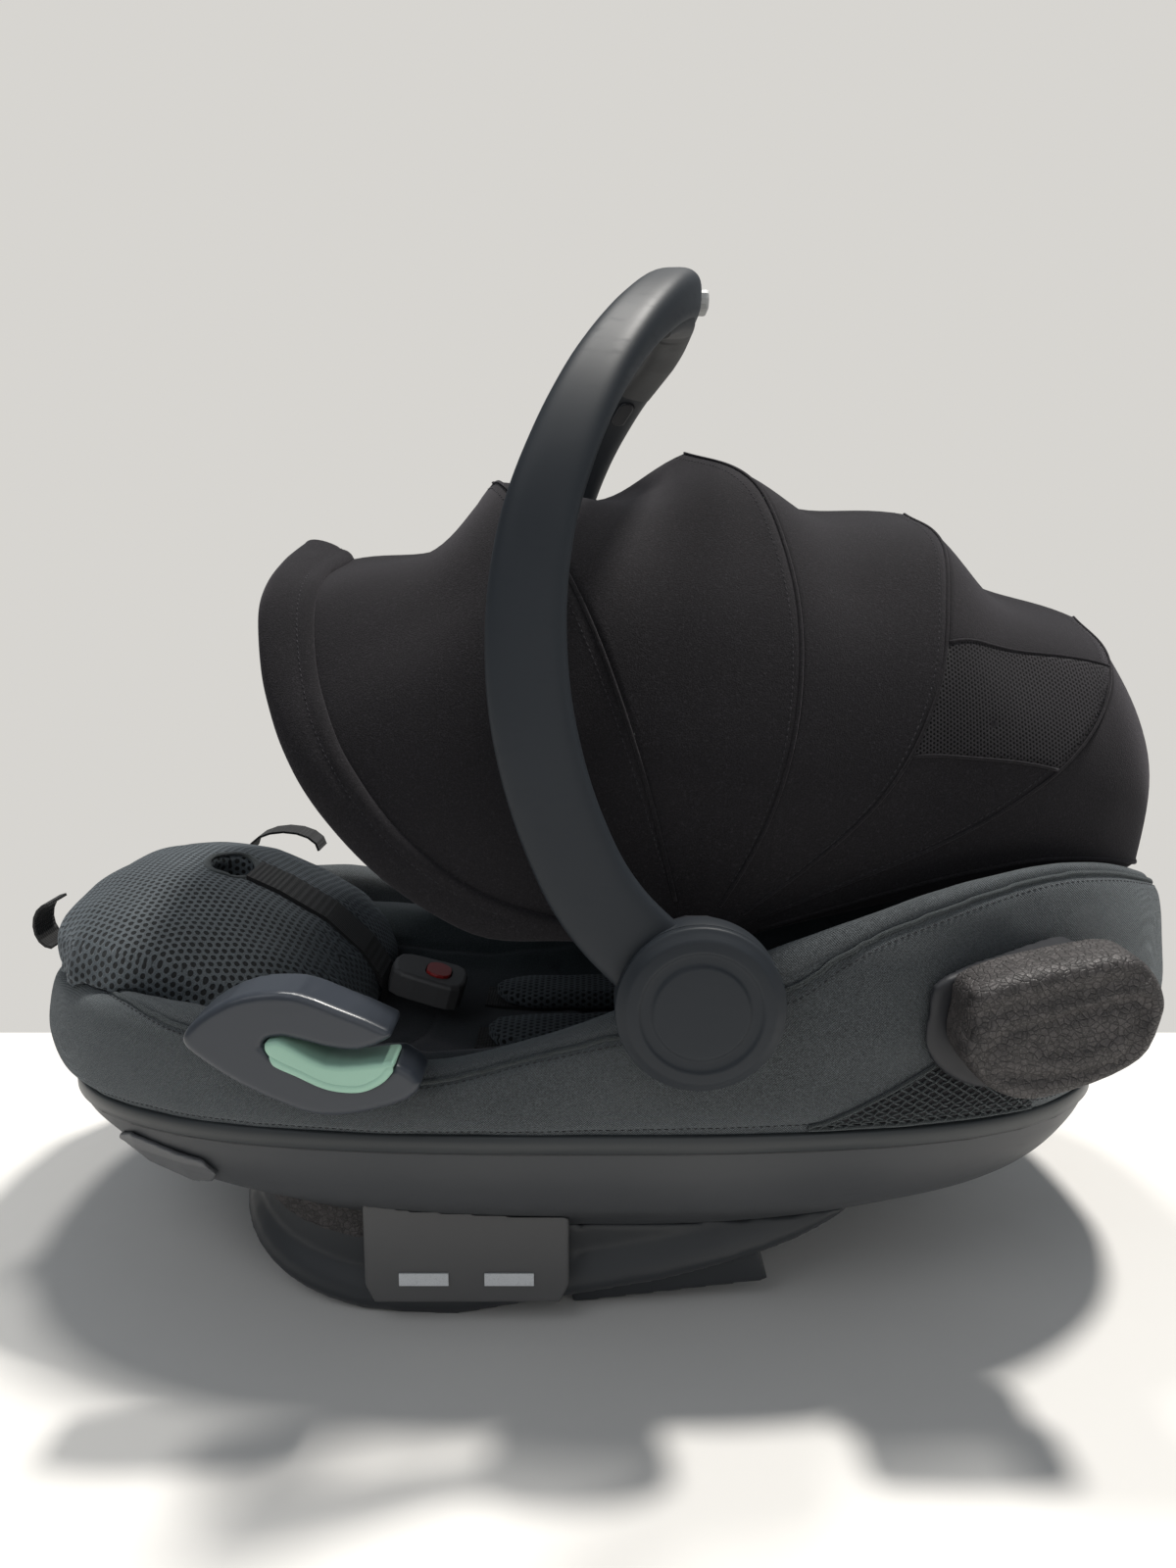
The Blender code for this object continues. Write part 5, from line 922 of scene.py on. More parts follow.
def section_points(angle):
    """The cover's outer face, rolled rim and inner skirt at a station, as points of the part's own section."""
    rim, edge = rim_z(angle), edge_z(angle)
    tuck = edge_inset(angle)
    lean = tuck - EDGE_TUCK
    height = rim - edge
    skirt = edge + SKIRT_RISE
    shares = (
        (tuck, edge), (tuck * 0.30, edge + 0.16 * height), (0.0, edge + 0.42 * height),
        (TOP_TUCK * 0.12, edge + 0.68 * height), (TOP_TUCK * 0.45, edge + 0.88 * height),
        (TOP_TUCK, rim - height * 0.02), (TOP_TUCK * 1.6, rim), (RIM_WIDTH * 0.88, rim - height * 0.06),
        (RIM_WIDTH, rim - height * SKIRT_BEND_SHARE), (RIM_WIDTH + lean, skirt),
    )
    return [on_plan(angle, inset + COVER_SMOOTH_INSET, z) for inset, z in shares]


def smooth_open(points, per_side):
    """Catmull-Rom curve through the points, ends kept."""
    result = []
    last = len(points) - 1
    for i in range(last):
        p0, p1, p2, p3 = (points[min(max(i + k, 0), last)] for k in (-1, 0, 1, 2))
        for step in range(per_side):
            t = step / per_side
            result.append(0.5 * (
                2 * p1 + (p2 - p0) * t + (2 * p0 - 5 * p1 + 4 * p2 - p3) * t**2 + (3 * p1 - p0 - 3 * p2 + p3) * t**3
            ))
    result.append(points[last])
    return result


def on_section(section, s):
    index = min(int(s * SECTION_STEPS), len(section) - 2)
    return section[index].lerp(section[index + 1], s * SECTION_STEPS - index)


def hub_ring(radius, y, steps):
    """Points of a circle about the hub's axis."""
    return [Vector((HUB_X + radius * math.cos(a), y, HUB_Z + radius * math.sin(a))) for a in circle(steps)]


def hub_cylinder(side, radius, low_y, high_y):
    return ring_mesh("hub_cylinder", [hub_ring(radius, side * y, 64) for y in (low_y, high_y)])


ANGLES = [2 * math.pi * (i + 0.5) / FINE_STATIONS for i in range(FINE_STATIONS)]
SECTIONS = [smooth_open(section_points(a), SECTION_STEPS) for a in ANGLES]
cover_mesh = ring_mesh("seat_cover_mesh", SECTIONS, closed=True)
wrinkled(cover_mesh, 0.055, 0.0011, 3.0, (1.0, 1.0, 2.2))
wrinkled(cover_mesh, 0.016, 0.0003, 7.0)
WELT_AT = [along(WELT_SHARES, long_share(a)) for a in ANGLES]
WELT = [on_section(section, at) for section, at in zip(SECTIONS, WELT_AT)]
WELT_SIDE = [on_section(section, at - WELT_TO_STITCHES) for section, at in zip(SECTIONS, WELT_AT)]
HEM = [on_section(section, HEM_AT) for section in SECTIONS]
pressed_along(cover_mesh, WELT, 0.0030, 0.0019)
pressed_along(cover_mesh, HEM, 0.0016, 0.0008)
COVER_TREE = surface_of(cover_mesh)
hub_holes = [hub_cylinder(side, SOCKET_RADIUS + HUB_HOLE_PLAY, 0.140, 0.240) for _, side in SIDES]
cover_cut = carved(cover_mesh, "seat_cover_mesh", hub_holes)
cover = new_piece("cover_cloth", cover_cut, "cover_fabric", "seat", ["seat_cover"])


def on_cover(point, lift):
    found, normal, _, _ = COVER_TREE.find_nearest(point)
    return found + normal * lift


def away_from_hub(point):
    return math.hypot(point.x - HUB_X, point.z - HUB_Z) > SOCKET_RADIUS + HUB_CLEAR


def runs_of(spots, shortest):
    """The stretches between the gaps (None) in a row of points, without those that are too short."""
    runs = [[]]
    for spot in spots:
        if spot is None:
            runs.append([])
        else:
            runs[-1].append(spot)
    return [run for run in runs if len(run) >= shortest]


def open_runs(path):
    """Splits a closed path into the runs that stay clear of the hubs."""
    flags = [away_from_hub(p) for p in path]
    if all(flags):
        return [path + [path[0]]]
    start = next(i for i in range(len(path)) if flags[i] and not flags[i - 1])
    order = [(start + k) % len(path) for k in range(len(path))]
    return runs_of([path[i] if flags[i] else None for i in order], 4)


welts = []
for run in open_runs(WELT):
    path = [on_cover(p, WELT_LIFT) for p in even_path(run, 0.005)]
    welts.append(tube_mesh("welt", path, WELT_RADIUS))
new_piece("cover_welt", joined("cover_welt_mesh", welts), "cover_fabric", "seat", look=PIPING)
stitches = [stitch_row("stitches", run, COVER_TREE) for path in (HEM, WELT_SIDE) for run in open_runs(path)]
new_piece("cover_stitches", joined("cover_stitches_mesh", stitches), "cover_fabric", "seat", look=THREAD)

binding = []
for _, side in SIDES:
    spots = []
    for spot in hub_ring(SOCKET_RADIUS + BINDING_OUT, side * HALF_WIDTH, 72):
        found, normal, _, gap = COVER_TREE.find_nearest(spot)
        spots.append(found + normal * BINDING_LIFT if gap < 0.016 and normal.y * side > 0.15 else None)
    binding += [tube_mesh("binding", even_path(run, 0.004), BINDING_RADIUS) for run in runs_of(spots, 7)]
new_piece("hub_binding", joined("hub_binding_mesh", binding), "cover_fabric", "seat", look=PIPING)

NET_PITCH = 0.0068
NET_SLOPE = 0.62
NET_HEIGHT = 0.125
NET_STEP = 0.0006
NET_FIELD_LIFT = 0.0006
STRAND_LIFT = 0.0013
STRAND_WAVE = 0.0004
STRAND_RADIUS = 0.00055
BORDER_LIFT = 0.0012
BORDER_RADIUS = 0.0010


def net_top(along_net):
    fall = 1.0 - NET_FALL_SHARE * max(along_net - 1 / NET_PEAK_SHARE, 0.0)
    return NET_RISE_SHARE * min(along_net * NET_PEAK_SHARE, fall)


def net_point(side, along_net, rise, lift):
    """Point of the net's field: along it from 0 to 1, and up it from 0 to 1."""
    share = NET_LOW_SHARE + net_top(along_net) * rise
    x_share = (NET_FRONT_X + (NET_REAR_X - NET_FRONT_X) * along_net) / HALF_LENGTH
    angle = side * math.acos(x_share ** (OUTLINE_POWER / 2))
    tuck, height = edge_inset(angle), rim_z(angle) - edge_z(angle)
    inset = along(((0.0, 1.0), (0.16, 0.30), (0.42, 0.0)), share) * tuck
    return on_cover(on_plan(angle, inset, edge_z(angle) + share * height), lift)


def strand_points(side, number, direction):
    """One slanting strand of the net, step by step up it, with None where it is outside the field."""
    points = []
    for step in range(90):
        rise = step * NET_STEP
        along_net = (number * NET_PITCH + direction * rise / NET_SLOPE * 0.9) / (NET_REAR_X - NET_FRONT_X)
        height = NET_HEIGHT * net_top(along_net)
        if 0.015 < along_net < 0.985 and rise <= height:
            lift = STRAND_LIFT + STRAND_WAVE * math.sin(step * 0.9) * direction
            points.append(net_point(side, along_net, rise / height, lift))
        else:
            points.append(None)
    return points


for side_name, side in SIDES:
    field = [[net_point(side, i / 60, j / 16, NET_FIELD_LIFT) for j in range(17)] for i in range(1, 61)]
    field_mesh = grid_mesh(f"net_field_{side_name}_mesh", field)
    new_piece(f"net_field_{side_name}", field_mesh, "cover_fabric", "seat", look=THREAD)
    strands = []
    for direction in (1, -1):
        for number in range(-30, 60):
            runs = runs_of(strand_points(side, number, direction), 4)
            strands += [tube_mesh("strand", run, STRAND_RADIUS, 5) for run in runs]
    for edge in (0.0, 1.0):
        border = [net_point(side, i / 60, edge, BORDER_LIFT) for i in range(1, 61)]
        strands.append(tube_mesh("border", border, BORDER_RADIUS, 6))
    strands_mesh = joined(f"net_strands_{side_name}_mesh", strands)
    new_piece(f"net_strands_{side_name}", strands_mesh, "cover_fabric", "seat", [f"side_net_{side_name}"], PIPING)


# Seat lining, headrest, insert and pads

SOFT_VOXEL = 0.0045
PUFF_MOST = 0.004
ABOVE_SEAT = 0.45
SEAM_WIDTH = 0.0040
SEAM_DEPTH = 0.0022
STRAP_BEVEL = 0.0004


def dropped(tree, x, y):
    """The surface's point under this place."""
    found, normal, _, _ = tree.ray_cast(Vector((x, y, ABOVE_SEAT)), Vector((0.0, 0.0, -1.0)))
    return found, normal


lining_mesh = rounded_copy("seat_pad", SOFT_VOXEL, 6, 1)
wrinkled(lining_mesh, 0.05, 0.0014, 11.0)
wrinkled(lining_mesh, 0.022, 0.0013, 4.0, (1.0, 0.35, 0.8))
lining_tree = surface_of(lining_mesh)
seams = []
for side in (-1, 1):
    bends = [math.sin(math.pi * i / 60) for i in range(61)]
    seams.append([(-0.20 + 0.40 * i / 60, side * (0.083 + 0.020 * bend)) for i, bend in enumerate(bends)])
for x in (-0.13, -0.03, 0.07, 0.15):
    seams.append([(x + 0.02 * math.cos(math.pi * (j / 30 - 0.5)), -0.085 + 0.17 * j / 30) for j in range(31)])
found_seams = [[dropped(lining_tree, x, y)[0] for x, y in seam] for seam in seams]
seam_paths = [[spot for spot in seam if spot is not None] for seam in found_seams]
seam_paths = [path for path in seam_paths if len(path) > 3]
for path in seam_paths:
    pressed_along(lining_mesh, even_path(path, 0.002), SEAM_WIDTH, SEAM_DEPTH)
lining_tree = surface_of(lining_mesh)
lining = new_piece("seat_lining", lining_mesh, "lining_fabric", "seat", ["seat_pad"])
stitches = [stitch_row("stitches", path, lining_tree) for path in seam_paths]
new_piece("lining_stitches", joined("lining_stitches_mesh", stitches), "lining_fabric", "seat", look=THREAD)

rest_mesh = cushion("headrest", SOFT_VOXEL, 5, "headrest_mesh", 3.0, PUFF_MOST)
wrinkled(rest_mesh, 0.03, 0.0008, 5.0)
rest = new_piece("headrest_cushion", rest_mesh, "lining_fabric", "headrest", ["headrest"])

BUTTON_REACH = 0.008
BUTTON_FADE = 0.012
BUTTON_DIP = 0.006
HOLE_X = 0.100 - HALF_LENGTH
HOLE_REACH_X = 0.0145
HOLE_REACH_Y = 0.0235
HOLE_LIFT = 0.0004
HOLE_BINDING_RADIUS = 0.0021


def smooth_step(share):
    return share * share * (3 - 2 * share)


insert_mesh = cushion("insert_pad", SOFT_VOXEL, 5, "insert_mesh", 3.5, PUFF_MOST)
wrinkled(insert_mesh, 0.05, 0.0018, 21.0, (1.0, 1.6, 1.0))
wrinkled(insert_mesh, 0.02, 0.0005, 9.0)
# The cushion gives way to the adjuster's button
button = NODES["adjuster_button"]
centre = np.mean([tuple(button.matrix_world @ v.co) for v in button.data.vertices], axis=0)
distance = np.linalg.norm(coordinates(insert_mesh) - centre, axis=1)
shifted(insert_mesh, -BUTTON_DIP * smooth_step(np.clip(1.0 - (distance - BUTTON_REACH) / BUTTON_FADE, 0.0, 1.0)))
insert = new_piece("insert_cushion", insert_mesh, "mesh_fabric", "seat", ["insert_pad"])
insert_tree = surface_of(insert_mesh)
hole = []
for turn in circle(64):
    found, normal = dropped(insert_tree, HOLE_X + HOLE_REACH_X * math.cos(turn), HOLE_REACH_Y * math.sin(turn))
    if found is not None:
        hole.append(found + normal * HOLE_LIFT)
hole_mesh = tube_mesh("hole_binding_mesh", hole, HOLE_BINDING_RADIUS, 10, closed=True, flat=0.7)
new_piece("hole_binding", hole_mesh, "mesh_fabric", "seat", look=PIPING)

for side_name, side in SIDES:
    node_name = f"shoulder_pad_{side_name}"
    pad_mesh = cushion(node_name, 0.003, 3, node_name + "_mesh", 2.5, 0.002, 14, 0.0010)
    wrinkled(pad_mesh, 0.02, 0.0005, 15.0 + side)
    new_piece(f"strap_pad_{side_name}", pad_mesh, "mesh_fabric", "seat", [node_name])

for strap in ("shoulder_strap_left", "shoulder_strap_right", "crotch_strap", "belt_loop_front", "belt_loop_side"):
    obj = linked("scratch", NODES[strap].data.copy())
    modify(obj, "BEVEL", width=STRAP_BEVEL, segments=2, limit_method="ANGLE", angle_limit=math.radians(50))
    new_piece(strap + "_webbing", baked(obj, strap + "_mesh"), "webbing", "seat", [strap])


# Canopy

CANOPY_FINE = 72
PANEL_FINE = 20
RIPPLE = 0.0007
PULL = 0.0009
HEM_DROP = 0.020
HEM_DRAW = 0.016
SEAM_RADIUS = 0.0010
SEAM_LIFT = 0.0003
SEAM_REACH = 0.96
STITCH_REACH = 0.93


def bow_place(line, u):
    """Point of a canopy line at u, and the canopy's outward direction there."""
    polar = bow_point(line, u)
    return from_polar(*polar), canopy_outward(*polar)


def panel_point(front, back, u, v, sag_share):
    """Outer face of a panel: u from side to side, v from its front line to its back line."""
    front_turn, front_radius, front_y = bow_point(front, u)
    back_turn, back_radius, back_y = bow_point(back, u)
    hollow = 0.55 * 4 * v * (1 - v) + 0.45 * math.sin(math.pi * v) ** 2
    sag = 1.0 - sag_share * hollow * max(0.0, 1.0 - abs(u) ** 1.6)
    turn = front_turn + v * (back_turn - front_turn)
    radius = (front_radius + v * (back_radius - front_radius)) * sag
    y = front_y + v * (back_y - front_y)
    return from_polar(turn, radius, y), canopy_outward(turn, radius, y)


def panel_rows(front, back, sag_share):
    outer, inner = [], []
    for i in range(CANOPY_FINE + 1):
        u = -1.0 + 2.0 * i / CANOPY_FINE
        above, below = [], []
        for j in range(PANEL_FINE + 1):
            v = j / PANEL_FINE
            reach = v - 0.05 * (1.0 - v) if front == "rim" else v
            point, normal = panel_point(front, back, u, reach, sag_share)
            ripple = RIPPLE * noise.noise(point * 16.0) * math.sin(math.pi * v)
            pull = PULL * noise.noise(Vector((u * 9.0, v * 1.5, sag_share * 50.0))) * math.sin(math.pi * v)
            above.append(point + (ripple + pull) * normal)
            below.append(point + (ripple + pull - CANOPY_SKIN) * normal)
        outer.append(above)
        inner.append(below)
    return outer, inner


def tucked(outer, inner):
    """The hem carried on down and in, behind the cover's rim, as the real one is."""
    for i, (above, below) in enumerate(zip(outer, inner)):
        u = -1.0 + 2.0 * i / CANOPY_FINE
        share = max(0.0, 1.0 - abs(u) ** 3)
        last = above[-1]
        inward = Vector((HUB_X - last.x, -last.y, 0.0)).normalized()
        for k in range(1, 7):
            t = k / 6
            step = share * (HEM_DROP * t * Vector((0.0, 0.0, -1.0)) + HEM_DRAW * t**0.8 * inward)
            above.append(last + step)
            below.append(last + step - CANOPY_SKIN * bow_place("hem", u)[1])


def hung(piece, back_body, front_body, apex_back, apex_front):
    """Bakes the piece's placement into its mesh."""
    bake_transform(piece)


def apexes(front, back, sag_share):
    return [panel_point(front, back, 0.0, v, sag_share)[0] for v in (1.0, 0.0)]


canopy_trees = {}
for panel_name, (front, back, sag_share, back_body, front_body) in PANELS.items():
    outer, inner = panel_rows(front, back, sag_share)
    if back == "hem":
        tucked(outer, inner)
    mesh = ring_mesh(panel_name + "_mesh", [a + b[::-1] for a, b in zip(outer, inner)])
    cloth = new_piece(panel_name + "_cloth", mesh, "canopy_fabric", None, [panel_name])
    apex_back, apex_front = apexes(front, back, sag_share)
    hung(cloth, back_body, front_body, apex_back, apex_front)
    canopy_trees[panel_name] = surface_of(mesh)

for _, line, _, body, _ in PANELS.values():
    places = [bow_place(line, -SEAM_REACH + 2 * SEAM_REACH * i / 120) for i in range(121)]
    path = [point + SEAM_LIFT * outward for point, outward in places]
    seam = tube_mesh(f"seam_{line}_mesh", path, SEAM_RADIUS, flat=0.6, up=[outward for _, outward in places])
    new_piece(f"seam_{line}", seam, "canopy_fabric", body)

# Top stitches beside each bow's seam
for panel_name, (front, line, sag_share, body, _) in PANELS.items():
    if line != "hem":
        us = [-STITCH_REACH + 2 * STITCH_REACH * i / 120 for i in range(121)]
        beside = [panel_point(front, line, u, 0.955, sag_share)[0] for u in us]
        row = stitch_row(f"stitches_{line}_mesh", beside, canopy_trees[panel_name])
        new_piece(f"stitches_{line}", row, "canopy_fabric", body, look=THREAD)


# Ventilation nets: one on each side of the fourth panel, between two cross seams

VENT_PANEL = "canopy_panel_4"
VENT_TOP = (0.56, 0.33)
VENT_LOW = (0.735, 0.62)
VENT_ROWS = 24
VENT_COLUMNS = 18
VENT_LIFT = 0.0006
VENT_SINK = 0.0003
VENT_SEAM_RADIUS = 0.0009
front, back, sag_share, back_body, front_body = PANELS[VENT_PANEL]
vent_apexes = apexes(front, back, sag_share)
for label, side in SIDES:
    outer, inner = [], []
    for i in range(VENT_ROWS + 1):
        v = 0.012 + 0.976 * i / VENT_ROWS
        top, low = (ends[0] + (ends[1] - ends[0]) * v for ends in (VENT_TOP, VENT_LOW))
        above, below = [], []
        for j in range(VENT_COLUMNS + 1):
            point, normal = panel_point(front, back, side * (top + (low - top) * j / VENT_COLUMNS), v, sag_share)
            found = canopy_trees[VENT_PANEL].find_nearest(point)[0]
            above.append(found + VENT_LIFT * normal)
            below.append(found - VENT_SINK * normal)
        outer.append(above)
        inner.append(below)
    vent_mesh = ring_mesh(f"canopy_vent_{label}_mesh", [a + b[::-1] for a, b in zip(outer, inner)])
    net = new_piece(f"canopy_vent_{label}", vent_mesh, "canopy_fabric", None, look=VENT)
    hung(net, back_body, front_body, *vent_apexes)
    edges = [tube_mesh("edge", [row[j] for row in outer], VENT_SEAM_RADIUS) for j in (0, -1)]
    edge_mesh = joined(f"vent_seams_{label}_mesh", edges)
    hung(new_piece(f"vent_seams_{label}", edge_mesh, "canopy_fabric", None), back_body, front_body, *vent_apexes)


# Padded front rim

RIM_REACH = 0.965
RIM_TAPER_FROM = 0.86
RIM_TAPER_OVER = 0.11
RIM_SEAM_REACH = 0.88


def rim_frame(u):
    """Seam point of the rim, its band direction, its thickness direction and its width."""
    seam, normal = bow_place("rim", u)
    ahead, behind = bow_place("rim", min(u + 0.02, 1.0))[0], bow_place("rim", max(u - 0.02, -1.0))[0]
    tangent = (ahead - behind).normalized()
    forward = tangent.cross(normal).normalized()
    if forward.x > 0:
        forward = -forward
    lift = max(0.0, 1.0 - abs(u) * 1.25)
    band = (forward * (1.0 - 0.62 * lift) + normal * 0.95 * lift).normalized()
    thick = band.cross(tangent).normalized()
    if thick.dot(normal) < 0:
        thick = -thick
    end = smooth_step(min(max((abs(u) - RIM_TAPER_FROM) / RIM_TAPER_OVER, 0.0), 1.0))
    return seam, band, thick, RIM_BAND_WIDTH * (1.0 - 0.45 * abs(u) ** 4) * (1.0 - 0.55 * end)


def rim_ring(u):
    """The rim's padded section at u, sunk towards its seam."""
    seam, band, thick, width = rim_frame(u)
    centre = seam + width / 2 * band
    ring = []
    for a in circle(40):
        away = (1.0 + math.cos(a)) / 2
        drop = RIM_BAND_THICKNESS * 0.35 * away + CANOPY_SKIN / 2 * (1.0 - away)
        puff = 1.0 + 0.05 * noise.noise(Vector((u * 14.0, math.cos(a), math.sin(a))))
        ring.append(
            centre + width / 2 * rounded_power(math.cos(a), 0.8) * band
            + (RIM_BAND_THICKNESS / 2 * rounded_power(math.sin(a), 0.8) * puff - drop) * thick
        )
    return ring


rim_mesh = ring_mesh("canopy_rim_mesh", [rim_ring(-RIM_REACH + 2 * RIM_REACH * i / 160) for i in range(161)])
rim_tree = surface_of(rim_mesh)
inner_seam = []
for i in range(121):
    seam, band, thick, width = rim_frame(-RIM_SEAM_REACH + 2 * RIM_SEAM_REACH * i / 120)
    inner_seam.append(rim_tree.find_nearest(seam + width * 0.30 * band + RIM_BAND_THICKNESS * 0.5 * thick)[0])
pressed_along(rim_mesh, even_path(inner_seam, 0.002), 0.0022, 0.0010)
wrinkled(rim_mesh, 0.03, 0.0007, 31.0)
new_piece("rim_band", rim_mesh, "canopy_fabric", "canopy_rim", ["canopy_rim"])
rim_stitches = stitch_row("rim_stitches_mesh", inner_seam, surface_of(rim_mesh))
new_piece("rim_stitches", rim_stitches, "canopy_fabric", "canopy_rim", look=THREAD)


# Rigid pieces with finer curves than the solids


def crisp(piece, degrees):
    piece.data.set_sharp_from_angle(angle=math.radians(degrees))
    return piece


def refined(node_name, voxel, smooth, look=None):
    """A rigid node with its facets smoothed out."""
    mesh = rounded_copy(node_name, voxel, smooth, 0)
    return new_piece(node_name + "_fine", mesh, SLOT_OF[node_name], NODES[node_name]["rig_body"], [node_name], look)


def turned(name, profile, side, closed=False):
    """Mesh turned about the hub's axis from (radius, y) points."""
    return ring_mesh(name, [hub_ring(radius, side * y, 128) for radius, y in profile], closed)


def rounded_profile(profile, radius, steps=4, closed=False):
    """The profile with its corners rounded."""
    result = []
    count = len(profile)
    for i, point in enumerate(profile):
        here = Vector(point)
        if not closed and i in (0, count - 1):
            result.append(tuple(here))
            continue
        before, after = Vector(profile[i - 1]), Vector(profile[(i + 1) % count])
        r = min(radius, (before - here).length * 0.45, (after - here).length * 0.45)
        start = here + (before - here).normalized() * r
        end = here + (after - here).normalized() * r
        for k in range(steps + 1):
            t = k / steps
            result.append(tuple((1 - t) ** 2 * start + 2 * t * (1 - t) * here + t**2 * end))
    return result


def plate_mesh(name, outline, place, low, high, rounding):
    """A plate with this outline between two depths, with a bevel at its high edge."""
    outline = anticlockwise([Vector(point) for point in outline])
    layers = ((low, outline), (high - rounding, outline), (high, inset_loop(outline, rounding)))
    return ring_mesh(name, [[place(p.x, p.y, depth) for p in ring] for depth, ring in layers])


HANDLE_FINE = 90
GRIP_FINE = 48
DISC_OUT = HUB_FACE_Y - CAP_THICKNESS - GAP
DISC_IN = DISC_OUT - HANDLE_DISC_THICKNESS
BOLT_HOLE = BOLT_RADIUS + BOLT_PLAY
HEAD_HOLE = BOLT_HEAD_RADIUS + BOLT_PLAY
HEAD_FLOOR = DISC_OUT - BOLT_HEAD_THICKNESS - 2 * GAP
LOCK_FLOOR = DISC_IN + LOCK_POCKET_DEPTH
POCKET_BEVEL = 0.001


def button_pocket(length, width, depth, travel, place, face, above):
    """What a button in the handle needs taken away: a slot from below it to above the handle's face."""
    slot = stadium(length + 2 * BUTTON_CLEARANCE, width + 2 * BUTTON_CLEARANCE)
    return plate_mesh("pocket", slot, place, face - depth - travel - GAP, face + above, POCKET_BEVEL)


def release_pocket():
    centre = handle_frame(1.0, -1)[0]
    place = in_frame(centre, Vector((0.0, 1.0, 0.0)), Vector((0.0, 0.0, 1.0)), Vector((1.0, 0.0, 0.0)))
    face = handle_sizes(1.0)[0]
    return button_pocket(RELEASE_LENGTH, RELEASE_WIDTH, RELEASE_DEPTH, RELEASE_TRAVEL, place, face, 0.030)


def arm_section(t, side):
    half_width, half_thickness = handle_sizes(t)
    return handle_section(t, side, half_width, -half_thickness, half_thickness, 40, 3.0)


def grip_section(t, side):
    half_width, half_thickness = handle_sizes(t)
    share = min(1.0, 0.35 + (t - GRIP_COVER_FROM_SHARE) / (1 - GRIP_COVER_FROM_SHARE) * 1.3)
    inner = -half_thickness - GRIP_COVER_THICKNESS * share
    return handle_section(t, side, half_width * GRIP_COVER_WIDTH_SHARE, inner, -half_thickness * 0.55, 36, 2.6)


handle_mesh = ring_mesh("handle_mesh", swept_handle([i / HANDLE_FINE for i in range(HANDLE_FINE + 1)], arm_section))
handle_cuts, discs = [], []
for _, side in SIDES:
    centre, tangent, fore, outward = handle_frame(HANDLE_BUTTON_AT_SHARE, side)
    handle_cuts += [
        button_pocket(
            HANDLE_BUTTON_LENGTH, HANDLE_BUTTON_WIDTH, HANDLE_BUTTON_DEPTH, HANDLE_BUTTON_TRAVEL,
            in_frame(centre, tangent, fore, -outward), handle_sizes(HANDLE_BUTTON_AT_SHARE)[1], 0.010,
        ),
        hub_cylinder(side, LOCK_POCKET_RADIUS, DISC_IN - 0.008, LOCK_FLOOR),
        hub_cylinder(side, HEAD_HOLE, HEAD_FLOOR, DISC_OUT + 0.003),
        hub_cylinder(side, BOLT_HOLE, DISC_IN - 0.008, DISC_OUT + 0.003),
    ]
    profile = rounded_profile((
        (BOLT_HOLE, HEAD_FLOOR), (HEAD_HOLE, HEAD_FLOOR), (HEAD_HOLE, DISC_OUT), (HUB_RADIUS, DISC_OUT),
        (HUB_RADIUS, DISC_IN + CAP_STEP), (HUB_RADIUS - CAP_STEP, DISC_IN), (LOCK_POCKET_RADIUS, DISC_IN),
        (LOCK_POCKET_RADIUS, LOCK_FLOOR), (BOLT_HOLE, LOCK_FLOOR),
    ), 0.0004, 2, True)
    discs.append(turned("disc", profile, side, closed=True))
handle_mesh = carved(handle_mesh, "handle_mesh", handle_cuts + [release_pocket()])
handle_mesh = joined("handle_frame_mesh", [handle_mesh] + discs)
crisp(new_piece("handle_frame", handle_mesh, "handle_plastic", "handle", ["carry_handle"]), 40)

grip_ts = [GRIP_COVER_FROM_SHARE + (1.0 - GRIP_COVER_FROM_SHARE) * i / GRIP_FINE for i in range(GRIP_FINE + 1)]
grip_mesh = ring_mesh("grip_mesh", swept_handle(grip_ts, grip_section))
grip_mesh = carved(grip_mesh, "grip_cover_mesh", [release_pocket()])
grip = crisp(new_piece("grip_sleeve", grip_mesh, "dark_plastic", "handle", ["grip_cover"], GRIP_LOOK), 50)

for side_name, side in SIDES:
    face, back = HUB_FACE_Y, HUB_FACE_Y - CAP_THICKNESS
    profile = rounded_profile((
        (0.0005, back), (HUB_RADIUS, back), (HUB_RADIUS, face - 3.2 * CAP_STEP),
        (HUB_RADIUS - 1.4 * CAP_STEP, face - 2.4 * CAP_STEP), (HUB_RADIUS - 3.4 * CAP_STEP, face - 0.8 * CAP_STEP),
        (CAP_GROOVE_RADIUS + CAP_STEP, face - 0.1 * CAP_STEP), (CAP_GROOVE_RADIUS, face - 0.9 * CAP_STEP),
        (CAP_BOSS_RADIUS + CAP_STEP, face - 0.9 * CAP_STEP), (CAP_BOSS_RADIUS, face - 0.1 * CAP_STEP),
        (CAP_BOSS_RADIUS / 2, face), (0.0005, face),
    ), 0.0010)
    cap = turned(f"hub_cap_{side_name}_mesh", profile, side)
    crisp(new_piece(f"hub_disc_{side_name}", cap, "handle_plastic", "handle", [f"hub_cap_{side_name}"]), 50)

